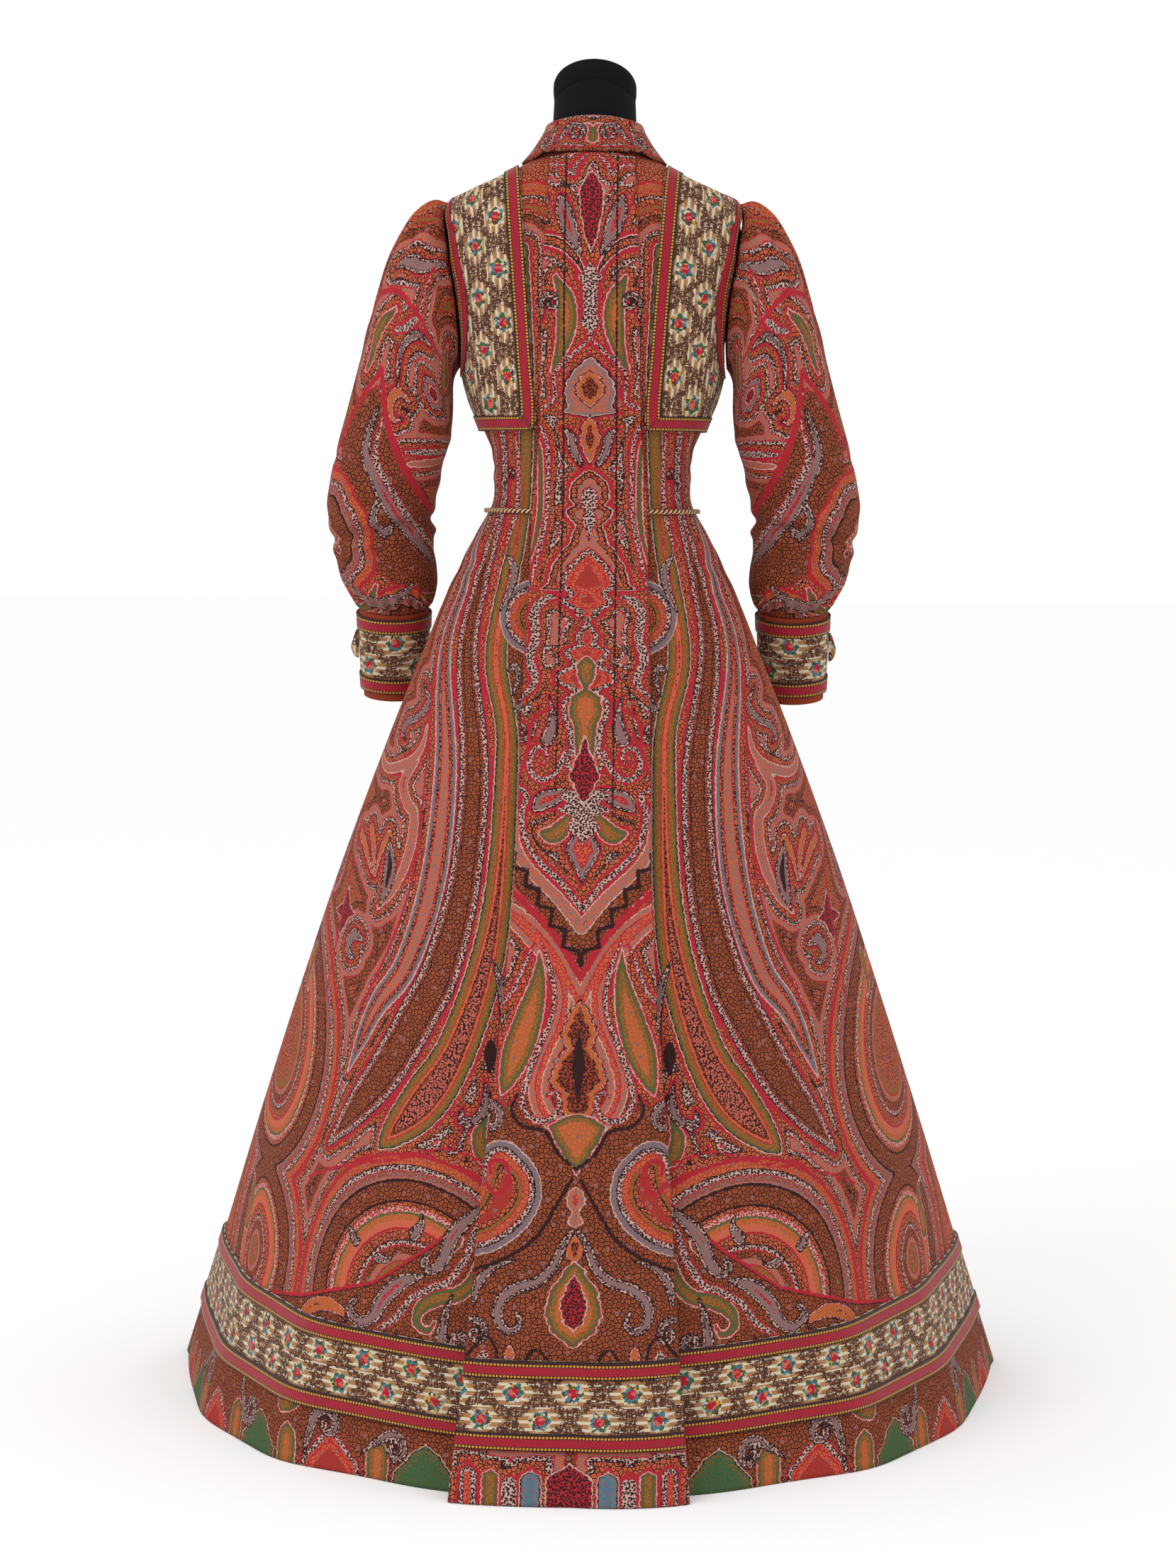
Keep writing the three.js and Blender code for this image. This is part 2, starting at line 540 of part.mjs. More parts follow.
function collarMesh() {
  const angles = spread(-COLLAR_HALF_ANGLE, COLLAR_HALF_ANGLE, COLLAR_COLUMNS);
  const edge = (angle, out) => {
    const near = THREE.MathUtils.smoothstep(COLLAR_EDGE.pleatAngle - Math.abs(angle), 0, 18);
    const over = COLLAR_EDGE.over + near * (COLLAR_EDGE.overPleat - COLLAR_EDGE.over);
    return bodyPoint(angle, rowLevel(COLLAR_EDGE, angle), over + out);
  };
  const grid = (out) => {
    const leaf = COLLAR.map((row, i) =>
      angles.map((angle) => {
        const point = ovalPoint(row, angle, i ? out : 0);
        if (i < 2) point.z += out;
        return point;
      }),
    );
    return [...leaf, angles.map((angle) => edge(angle, out))].reverse();
  };
  return wall(grid(0), grid(-COLLAR_WALL));
}

function standMesh() {
  const angles = spread(-COLLAR_HALF_ANGLE - 4, COLLAR_HALF_ANGLE + 4, COLLAR_COLUMNS);
  const top = (out) => angles.map((angle) => ovalPoint(STAND, angle, out));
  const foot = (out) =>
    angles.map((angle) => {
      const point = bodyPoint(angle, rowLevel(ROWS.at(-1), angle), out);
      point.z += SEAM + 0.6;
      return point;
    });
  return wall([foot(0), top(0)], [foot(-WALL), top(-WALL)]);
}

// The cord's height over the panels: it climbs over the placket at centre front.
function cordRoute(share) {
  const knotAngle = inDegrees((CORD.knotHalf + SEAM) / body.halfWidth(CORD.level));
  const angle = -180 + knotAngle + share * (360 - 2 * knotAngle);
  const near = THREE.MathUtils.smoothstep(Math.abs(angle), 158, 172);
  return bodyPoint(angle, CORD.level, CORD.radius + LAY + near * (LAY + WALL + 0.6));
}

function cordMesh() {
  const stops = spread(0, 1, CORD.steps);
  const rings = stops.map((share) => {
    const centre = cordRoute(share);
    const ahead = cordRoute(share + 1e-3).sub(cordRoute(share - 1e-3)).normalize();
    const up = new THREE.Vector3(0, 0, 1);
    const aside = ahead.clone().cross(up).normalize();
    return spread(2 * Math.PI, 0, CORD.sides).slice(0, -1).map((turn) =>
      centre.clone()
        .addScaledVector(aside, CORD.radius * Math.cos(turn))
        .addScaledVector(up, CORD.radius * Math.sin(turn)),
    );
  });
  return loft(rings);
}

function knotMesh() {
  const profile = spread(0, Math.PI, 6).map(
    (turn) => new THREE.Vector2(CORD.knotRadius * Math.sin(turn) ** 0.6, CORD.knotHalf * Math.cos(Math.PI - turn)),
  );
  profile[0].x = 0;
  profile[profile.length - 1].x = 0;
  const geometry = new THREE.LatheGeometry(profile, 12);
  geometry.rotateZ(Math.PI / 2);
  const at = bodyPoint(180, CORD.level, LAY + WALL + LAY + CORD.knotRadius);
  return geometry.translate(at.x, at.y, at.z);
}

function formTorso() {
  const angles = spread(0, 360, FORM_COLUMNS).slice(0, -1);
  const rows = ROWS.filter((row) => row.side >= FORM_BOTTOM && !FORM_SKIPS.includes(row.side));
  const gap = (at) => {
    const high = THREE.MathUtils.smoothstep(at, FORM_GAPS.low, FORM_GAPS.high);
    return THREE.MathUtils.lerp(FORM_GAPS.body, FORM_GAPS.shoulder, high);
  };
  const rings = rows.map((row) =>
    angles.map((angle) => {
      const signed = angle > 180 ? angle - 360 : angle;
      return bodyPoint(signed, rowLevel(row, signed), -WALL - gap(row.side));
    }),
  );
  return loft([...rings, ...NECK.map((row) => angles.map((angle) => ovalPoint(row, angle)))]);
}

// A domed cap on a slanting rim, over the neck.
function neckCap() {
  const angles = spread(0, 360, FORM_COLUMNS).slice(0, -1);
  const slope = Math.tan(radians(NECK_CAP.tilt));
  const rim = (radius, rise, lean) =>
    angles.map((angle) => {
      const y = -radius * Math.cos(radians(angle));
      return new THREE.Vector3(radius * Math.sin(radians(angle)), y, NECK_CAP.height + rise - y * slope * lean);
    });
  const foot = angles.map((angle) => ovalPoint(NECK.at(-1), angle).add(new THREE.Vector3(0, 0, SEAM)));
  const r = NECK_CAP.radius;
  const { thick, dome } = NECK_CAP;
  return loft([
    foot,
    rim(r, -thick, 0.92),
    rim(r, 0, 1),
    rim(r - 1.5, 2, 1),
    rim(r * 0.75, 2 + dome * 0.6, 1),
    rim(r * 0.4, 2 + dome, 1),
  ]);
}

function standBase() {
  const { radius, thick, rim } = BASE;
  const profile = [[0, 0], [radius, 0], [radius, thick - rim], [radius - rim, thick], [0, thick]];
  const geometry = new THREE.LatheGeometry(profile.map(([x, y]) => new THREE.Vector2(x, y)), BASE.sides);
  return geometry.rotateX(Math.PI / 2);
}

function standPole() {
  const height = FORM_BOTTOM - SEAM - POLE.bottom;
  const geometry = new THREE.CylinderGeometry(POLE.radius, POLE.radius, height, POLE.sides);
  return geometry.rotateX(Math.PI / 2).translate(0, 0, POLE.bottom + height / 2);
}

const dress = new THREE.Group();

function add(name, geometry, colour) {
  const mesh = new THREE.Mesh(geometry, new THREE.MeshStandardMaterial(COLOURS[colour]));
  mesh.name = name;
  dress.add(mesh);
}

const SIDES = [["left", -1], ["right", 1]];
const ON_BAND = LAY + TRIM_WALL + 0.5; // height of a ribbon's underside over the panels

add("stand_base", standBase(), "stand");
add("stand_pole", standPole(), "stand");
add("form_torso", formTorso(), "form");
add("form_neck_cap", neckCap(), "form");
add("centre_back_pleat", pleatMesh(), "shawl");
add("pleat_band", pleatStrip("bandLow", "bandHigh", LAY, TRIM_WALL), "flowered");
add("pleat_ribbon_lower", pleatStrip("bandLow", "ribbonLow", ON_BAND, RIBBON_WALL), "ribbon");
add("pleat_ribbon_upper", pleatStrip("ribbonHigh", "bandHigh", ON_BAND, RIBBON_WALL), "ribbon");

for (const [word, side] of SIDES) {
  add("back_" + word, sheetOf(panelAngles("back"), ROWS, () => -WALL, WALL, side), "shawl");
  add("front_" + word, sheetOf(panelAngles("front"), ROWS, () => -WALL, WALL, side), "shawl");

  const hemAngles = (row) => [...panelAngles("back")(row).slice(1), ...panelAngles("front")(row).slice(1)];
  const hemStrip = (low, high, over, thick) => sheetOf(hemAngles, rowsBetween(low, high), () => over, thick, side);
  add("hem_band_" + word, hemStrip("bandLow", "bandHigh", LAY, TRIM_WALL), "flowered");
  add("hem_ribbon_lower_" + word, hemStrip("bandLow", "ribbonLow", ON_BAND, RIBBON_WALL), "ribbon");
  add("hem_ribbon_upper_" + word, hemStrip("ribbonHigh", "bandHigh", ON_BAND, RIBBON_WALL), "ribbon");

  for (const part of ["back", "front"]) {
    const rows = rowsBetween("boleroLow", "boleroTop");
    const angles = boleroAngles(part);
    const flare = (row) => BOLERO.flare * THREE.MathUtils.clamp((1150 - row.side) / 43, 0, 1);
    const armColumn = part === "back" ? BOLERO_COLUMNS - 1 : 0;
    const innerColumn = BOLERO_COLUMNS - 1 - armColumn;
    const flip = (j) => (side > 0 ? j : BOLERO_COLUMNS - 1 - j);
    const pit = rows.findIndex((row) => row.name === "boleroSide");
    const border = (i, j) => i === 0 || flip(j) === innerColumn;
    const armhole = (i, j) => flip(j) === armColumn && i >= pit;
    const ribbon = (covers) => sheetOf(angles, rows, (row) => ON_BAND + flare(row), RIBBON_WALL, side, { covers });
    add(`bolero_${part}_${word}`, sheetOf(angles, rows, (row) => LAY + flare(row), TRIM_WALL, side), "flowered");
    add(`bolero_${part}_ribbon_${word}`, ribbon(border), "ribbon");
    add(`bolero_${part}_armhole_ribbon_${word}`, ribbon(armhole), "ribbon");
  }

  add("sleeve_" + word, sleeveMesh(side), "shawl");
  add("cuff_" + word, cuffTube([0, 0.5, 1], -WALL, WALL, side), "shawl");
  add("cuff_band_" + word, cuffTube([CUFF_BAND.from, CUFF_BAND.to], LAY, TRIM_WALL, side), "flowered");
  for (const ribbon of CUFF_RIBBONS)
    add(`cuff_ribbon_${ribbon.name}_${word}`, cuffTube([ribbon.from, ribbon.to], ON_BAND, RIBBON_WALL, side), "ribbon");
  add("cuff_tab_" + word, cuffTab(side), "shawl");
}

const placketAngles = (row) => {
  const reach = angleOfX(PLACKET.halfWidth, row.front);
  return [180 - reach, 180, 180 + reach];
};
add(
  "front_placket",
  sheetOf(placketAngles, rowsBetween(PLACKET.lowRow, PLACKET.highRow).slice(1), () => LAY, WALL, 1),
  "shawl",
);
add("collar", collarMesh(), "shawl");
add("collar_stand", standMesh(), "shawl");
add("waist_cord", cordMesh(), "cord");
add("waist_cord_knot", knotMesh(), "cord");

export default dress;
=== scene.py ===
import math
from functools import partial
import bpy
import numpy as np
from mathutils import Matrix, Vector


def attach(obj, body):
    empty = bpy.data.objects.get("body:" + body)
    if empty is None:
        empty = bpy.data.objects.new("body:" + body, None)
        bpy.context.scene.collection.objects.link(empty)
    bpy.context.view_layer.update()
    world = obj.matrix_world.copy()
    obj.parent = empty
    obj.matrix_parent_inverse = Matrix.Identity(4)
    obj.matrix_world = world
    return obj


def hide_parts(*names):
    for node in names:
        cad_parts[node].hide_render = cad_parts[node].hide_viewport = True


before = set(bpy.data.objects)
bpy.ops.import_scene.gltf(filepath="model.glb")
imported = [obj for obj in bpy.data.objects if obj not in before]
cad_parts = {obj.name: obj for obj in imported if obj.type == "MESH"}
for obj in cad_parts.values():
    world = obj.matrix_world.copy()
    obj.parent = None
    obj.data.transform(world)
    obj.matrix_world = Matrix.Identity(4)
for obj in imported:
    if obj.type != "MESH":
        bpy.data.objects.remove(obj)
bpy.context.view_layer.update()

print("frame loaded:", len(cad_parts), "nodes")

# Metres throughout. The back of the dress faces -Y, and the floor is at z = 0.
cloth = {  # lay is the gap under a piece that lies on another, and hem the hem's height over the floor
    "wall": 0.0018, "trimWall": 0.0015, "ribbonWall": 0.0011, "seam": 0.0002, "lay": 0.0007, "hem": 0.0005,
}
onBand = cloth["lay"] + cloth["trimWall"] + 0.0005  # a ribbon's place over the flowered band

# The body's surface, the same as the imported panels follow.

bodySections = [  # level, halfWidth, centreY, back, front, riseBack, riseFront, square
    (0.0, 0.478, 0.1, 0.64, 0.3, 0, 0, 2),
    (0.15, 0.43, 0.08, 0.535, 0.285, 0, 0, 2),
    (0.3, 0.385, 0.06, 0.445, 0.265, 0, 0, 2),
    (0.45, 0.339, 0.042, 0.362, 0.243, 0, 0, 2),
    (0.6, 0.291, 0.028, 0.29, 0.217, 0, 0, 2),
    (0.75, 0.236, 0.014, 0.214, 0.184, 0, 0, 2),
    (0.85, 0.196, 0.006, 0.166, 0.154, 0, 0, 2),
    (0.93, 0.163, 0.002, 0.124, 0.126, 0, 0, 2),
    (0.985, 0.136, 0, 0.1, 0.108, 0, 0, 2),
    (1.035, 0.113, 0, 0.088, 0.098, 0, 0, 2.05),
    (1.075, 0.114, 0, 0.09, 0.1, 0, 0, 2.1),
    (1.11, 0.126, 0, 0.098, 0.108, 0, 0, 2.15),
    (1.15, 0.144, 0, 0.106, 0.118, 0, 0, 2.2),
    (1.18, 0.151, 0, 0.11, 0.122, 0, 0, 2.2),
    (1.215, 0.158, 0, 0.112, 0.122, 0.005, 0.003, 2.2),
    (1.259, 0.167, 0, 0.112, 0.118, 0.012, 0.007, 2.2),
    (1.304, 0.174, 0, 0.107, 0.11, 0.02, 0.01, 2.2),
    (1.34, 0.174, 0, 0.098, 0.098, 0.027, 0.011, 2.2),
    (1.366, 0.164, 0, 0.086, 0.086, 0.03, 0.01, 2.15),
    (1.382, 0.128, 0, 0.078, 0.077, 0.032, 0.004, 2.1),
    (1.397, 0.099, 0, 0.07, 0.069, 0.028, -0.003, 2.05),
    (1.426, 0.058, 0, 0.058, 0.059, 0.018, -0.02, 2),
]
skirtFolds = [  # angle from centre back, spread, depth
    (20, 7, 0.009), (40, 6, 0.008), (61, 7, 0.007), (100, 8, 0.007), (128, 8, 0.009), (152, 8, 0.009),
]
foldsStart = 0.76
hemRows = {  # height at centre back, side seam and centre front
    "bandLow": (0.052, 0.068, 0.06), "ribbonLow": (0.068, 0.086, 0.077),
    "ribbonHigh": (0.118, 0.141, 0.13), "bandHigh": (0.135, 0.159, 0.147),
}
armhole = {"low": 1.18, "high": 1.366, "back": 23, "front": 25}
boleroArmhole = {"low": 1.169, "high": 1.369, "back": 27.5, "front": 29}
bolero = {"lowEdge": 0.059, "highEdge": 0.084, "low": 1.107, "high": 1.397, "flare": 0.0025, "ribbon": 0.017}
pleatSections = [  # level, halfWidth, inner, low, top
    (0.0, 0.118, 0.104, 0.006, 0.03),
    (0.104, 0.109, 0.094, 0.006, 0.026),
    (0.3, 0.097, 0.082, 0.006, 0.018),
    (0.617, 0.073, 0.056, 0.006, 0.012),
    (0.815, 0.068, 0.049, 0.006, 0.0105),
    (0.96, 0.063, 0.044, 0.007, 0.0105),
    (1.016, 0.061, 0.041, 0.0076, 0.0108),
    (1.07, 0.058, 0.039, 0.003, 0.007),
    (1.11, 0.0565, 0.037, 0.0008, 0.0044),
    (1.262, 0.054, 0.034, 0.0007, 0.0036),
    (1.386, 0.047, 0.03, 0.0007, 0.0034),
]
pleat = {
    "top": 1.384, "wall": 0.0016, "turn": 0.026, "step": 0.0016, "foldDepth": 0.0032, "crown": 0.0009,
    "outsideStep": 0.0014, "insideStep": 0.0008,
}


# A smooth way from a to b, with the slopes at both and the span that they are given over.
def between(a, b, slopeA, slopeB, span, t):
    h = t * t * (3 - 2 * t)
    bend = slopeA * t * (1 - t) ** 2 - slopeB * t * t * (1 - t)
    return a * (1 - h) + b * h + span * bend


def smoothCurve(rows, column):
    xs = np.array([row[0] for row in rows], float)
    ys = np.array([row[column] for row in rows], float)
    slopes = np.diff(ys) / np.diff(xs)
    before = np.concatenate((slopes[:1], slopes))
    after = np.concatenate((slopes, slopes[-1:]))
    total = before + after
    tangents = np.where(before * after > 0, 2 * before * after / np.where(total == 0, 1, total), 0)

    def at(x):
        x = np.clip(x, xs[0], xs[-1])
        i = np.clip(np.searchsorted(xs, x, side="right") - 1, 0, len(xs) - 2)
        span = xs[i + 1] - xs[i]
        return between(ys[i], ys[i + 1], tangents[i], tangents[i + 1], span, (x - xs[i]) / span)

    return at


body = {name: smoothCurve(bodySections, i + 1) for i, name in enumerate(
    ("halfWidth", "centreY", "back", "front", "riseBack", "riseFront", "square"))}
pleatAt = {name: smoothCurve(pleatSections, i + 1) for i, name in enumerate(
    ("halfWidth", "inner", "low", "top"))}


def smoothStep(x, low, high):
    t = np.clip((x - low) / (high - low), 0, 1)
    return t * t * (3 - 2 * t)


def bump(x, middle, spread):
    return np.exp(-(((x - middle) / spread) ** 2))


def skin(angle, at):
    turn = np.radians(angle)
    s, c = np.sin(turn), -np.cos(turn)
    power = 2 / body["square"](at)
    fade = np.clip(1 - at / foldsStart, 0, 1) ** 1.4
    fold = fade * sum(depth * bump(np.abs(angle), place, spread) for place, spread, depth in skirtFolds)
    isBack = c < 0
    reach = np.where(isBack, body["back"](at), body["front"](at))
    rise = np.where(isBack, body["riseBack"](at), body["riseFront"](at)) * c * c
    x = body["halfWidth"](at) * np.sign(s) * np.abs(s) ** power + fold * s
    y = body["centreY"](at) + reach * np.sign(c) * np.abs(c) ** power + fold * c
    return np.stack(np.broadcast_arrays(x, y, at + rise), -1)


def bodyPoint(angle, at, out):
    angle, at = np.broadcast_arrays(np.asarray(angle, float), np.asarray(at, float))
    across = skin(angle + 0.6, at) - skin(angle - 0.6, at)
    up = skin(angle, at + 0.001) - skin(angle, at - 0.001)
    normal = np.cross(across, up)
    normal /= np.linalg.norm(normal, axis=-1, keepdims=True)
    way = normal.copy()
    way[..., 2] *= smoothStep(at, 1.08, 1.24)
    away = np.broadcast_to(out, at.shape) / np.sum(way * normal, -1)
    return skin(angle, at) + way * away[..., None]


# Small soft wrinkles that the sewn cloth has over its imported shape. A pitch is half a wave.
wrinkle = {
    "waistDrag": 0.0012, "waistPitch": 0.0125, "hipDrag": 0.0016, "hipPitch": 0.021, "hemSway": 0.0062,
    "back": 0.0012,
}


def relief(angle, at):
    side = np.abs(angle)
    waist = wrinkle["waistDrag"] * bump(side, 78, 22) * bump(at, 1.066, 0.022)
    waist = waist * np.sin((at - 0.00025 * side) / wrinkle["waistPitch"] * np.pi)
    hip = wrinkle["hipDrag"] * bump(side, 62, 30) * bump(at, 0.955, 0.03)
    hip = hip * np.sin((at + 0.0005 * side) / wrinkle["hipPitch"] * np.pi + 1)
    sway = wrinkle["hemSway"] * smoothStep(0.78 - at, 0, 0.7)
    sway = sway * np.sin(np.radians(side) * 9 + 1.3 * np.sin(angle * 0.05) + at * 4)
    upper = wrinkle["back"] * smoothStep(at, 1.1, 1.14) * smoothStep(1.36 - at, 0, 0.04)
    upper = upper * np.sin(side * 0.21 + at * 34)
    return waist + hip + sway + upper * bump(side, 45, 30)


def rowLevel(row, angle):
    c = np.cos(np.radians(angle))
    back, side, front = row
    return side + (np.where(c > 0, back, front) - side) * c * c


def holeAngle(hole, at, part):
    middle = (hole["low"] + hole["high"]) / 2
    reach = (at - middle) / ((hole["high"] - hole["low"]) / 2)
    return hole[part] * np.sqrt(np.clip(1 - reach * reach, 0, 1))


def seamAngle(at):
    return np.degrees(cloth["seam"] / body["halfWidth"](at))


def angleOfX(x, at):
    share = np.clip(x / body["halfWidth"](at), 0, 1)
    return np.degrees(np.arcsin(share ** (body["square"](at) / 2)))


def levelsThrough(hole, low, high, counts):
    # rows of points, close together where the armhole's edge turns
    half = (1 - np.cos(np.linspace(0, np.pi, counts[1] + 1))) / 2
    inside = hole["low"] + (hole["high"] - hole["low"]) * half
    below = np.linspace(low, hole["low"], counts[0] + 1)[:-1]
    return np.concatenate((below, inside, np.linspace(hole["high"], high, counts[2] + 1)[1:]))


# Mesh pieces, with fields kept on their points for the woven pattern.

def meshPiece(name, points, faces, finishes, finishOf=None, flat=None, fields=None):
    mesh = bpy.data.meshes.new(name)
    mesh.from_pydata(points.tolist(), [], faces.tolist() if hasattr(faces, "tolist") else faces)
    for finish in finishes:
        mesh.materials.append(finish)
    count = len(mesh.polygons)
    mesh.polygons.foreach_set("use_smooth", np.ones(count, bool) if flat is None else ~flat)
    if finishOf is not None:
        mesh.polygons.foreach_set("material_index", finishOf.astype(np.int32))
    for key, values in (fields or {}).items():
        values = np.asarray(values, np.float32)
        kind = "FLOAT_VECTOR" if values.ndim == 2 else "FLOAT"
        mesh.attributes.new(key, kind, "POINT").data.foreach_set(
            "vector" if values.ndim == 2 else "value", values.ravel())
    mesh.update()
    piece = bpy.data.objects.new(name, mesh)
    bpy.context.scene.collection.objects.link(piece)
    return piece


def mirrored(grid):
    turned = grid[:, ::-1].copy()
    turned[..., 0] *= -1
    return turned


# A closed cloth wall from two grids of points, over the cells that keep chooses.
def clothShell(name, outer, inner, finishes, ring=False, keep=None, fields=None, side=1):
    fields = dict(fields or {})
    if side < 0:
        outer, inner = mirrored(outer), mirrored(inner)
        fields = {key: value[:, ::-1] for key, value in fields.items()}
        keep = None if keep is None else keep[:, ::-1]
    rows, width = outer.shape[:2]
    cells = width if ring else width - 1
    index = np.arange(rows * width).reshape(rows, width)
    if ring:
        index = np.hstack((index, index[:, :1]))
    half = rows * width
    if keep is None and rows % 2 and cells % 2 == 0:
        faces, fronts, backs = wideLined(index, half, ring)
    else:
        faces, fronts, backs = evenLined(index, half, ring, keep)
    used = np.unique(np.concatenate([np.ravel(part) for part in faces]))
    places = np.zeros(2 * half, int)
    places[used] = np.arange(len(used))
    faces = [face for part in faces for face in places[part].tolist()]
    points = np.concatenate((outer.reshape(-1, 3), inner.reshape(-1, 3)))[used]
    flat = np.zeros(len(faces), bool)
    flat[fronts + backs:] = True
    inside = np.zeros(len(faces), int)
    inside[fronts:fronts + backs] = len(finishes) - 1
    values = {}
    for key, value in fields.items():
        shape = (-1, value.shape[-1]) if value.ndim == 3 else (-1,)
        values[key] = np.concatenate((value.reshape(shape), value.reshape(shape)))[used]
    return meshPiece(name, points, faces, finishes, inside, flat, values)


def evenLined(index, half, ring, keep):
    if keep is None:
        keep = np.ones((index.shape[0] - 1, index.shape[1] - 1), bool)
    a, b, c, d = index[:-1, :-1], index[:-1, 1:], index[1:, 1:], index[1:, :-1]
    framed = np.pad(keep, 1)
    if ring:
        framed[1:-1, 0], framed[1:-1, -1] = keep[:, -1], keep[:, 0]
    rims = []
    for there, quad in (
        (framed[:-2, 1:-1], (a, a + half, b + half, b)),
        (framed[2:, 1:-1], (d, c, c + half, d + half)),
        (framed[1:-1, :-2], (a, d, d + half, a + half)),
        (framed[1:-1, 2:], (b, b + half, c + half, c)),
    ):
        rims.append(np.stack(quad, -1)[keep & ~there])
    front = np.stack((a, b, c, d), -1)[keep]
    back = np.stack((a, d, c, b), -1)[keep] + half
    return [front, back, np.concatenate(rims)], len(front), len(back)


# A lining with every second row and column of the outside.
def wideLined(index, half, ring):
    a, b, c, d = index[:-1, :-1], index[:-1, 1:], index[1:, 1:], index[1:, :-1]
    front = np.stack((a, b, c, d), -1).reshape(-1, 4)
    wide = index[::2, ::2] + half
    a, b, c, d = wide[:-1, :-1], wide[:-1, 1:], wide[1:, 1:], wide[1:, :-1]
    back = np.stack((a, d, c, b), -1).reshape(-1, 4)
    edges = [index[0], index[-1][::-1]]
    if not ring:
        edges += [index[::-1, 0], index[:, -1]]
    rims = []
    for edge in edges:
        first, middle, last = edge[:-1:2], edge[1::2], edge[2::2]
        rims.append(np.stack((last, middle, first, first + half, last + half), -1))
    return [front, back, np.concatenate(rims)], len(front), len(back)


def declare(piece, nodes, slot):
    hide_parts(*nodes)
    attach(piece, "root")
    return piece


# The cut size of a piece: its widest row, its longest column and its own area.
def cutOf(grid):
    widths = np.linalg.norm(np.diff(grid, axis=1), axis=-1)
    lengths = np.linalg.norm(np.diff(grid, axis=0), axis=-1)
    area = (widths[:-1] + widths[1:]) / 2 * (lengths[:, :-1] + lengths[:, 1:]) / 2
    return widths.sum(1).max(), lengths.sum(0).max(), area.sum()


def declareSheet(piece, grid, held):
    width, length, area = cutOf(grid)
    area = min(max(area, 0.32 * width * length), width * length)
    print(f"{piece.name}: cut {width:.3f} x {length:.3f} m, {area:.3f} m2")


# Dyes of the threads, as sRGB codes.

dyes = {
    "orange": "bc5a3a", "rust": "8f3a25", "crimson": "a4242f", "maroon": "611220", "lavender": "836361",
    "grey": "69606a", "olive": "745228", "ochre": "965a29", "green": "4e5832", "leafGreen": "345a3c",
    "dark": "31191a", "brown": "944829", "white": "bd9b90", "pink": "ba5f4e", "cream": "cbbda3",
    "tan": "9c7049", "cloud": "4e3026", "rose": "a5182c", "yellow": "c98d2c", "blue": "447284",
    "silk": "cdb886", "black": "0f1013", "lining": "8a7c6c",
}


def dye(name, strength=1.0):
    code = dyes[name]
    parts = [int(code[i:i + 2], 16) / 255 * strength for i in (0, 2, 4)]
    return tuple(((c + 0.055) / 1.055) ** 2.4 if c > 0.04045 else c / 12.92 for c in parts)


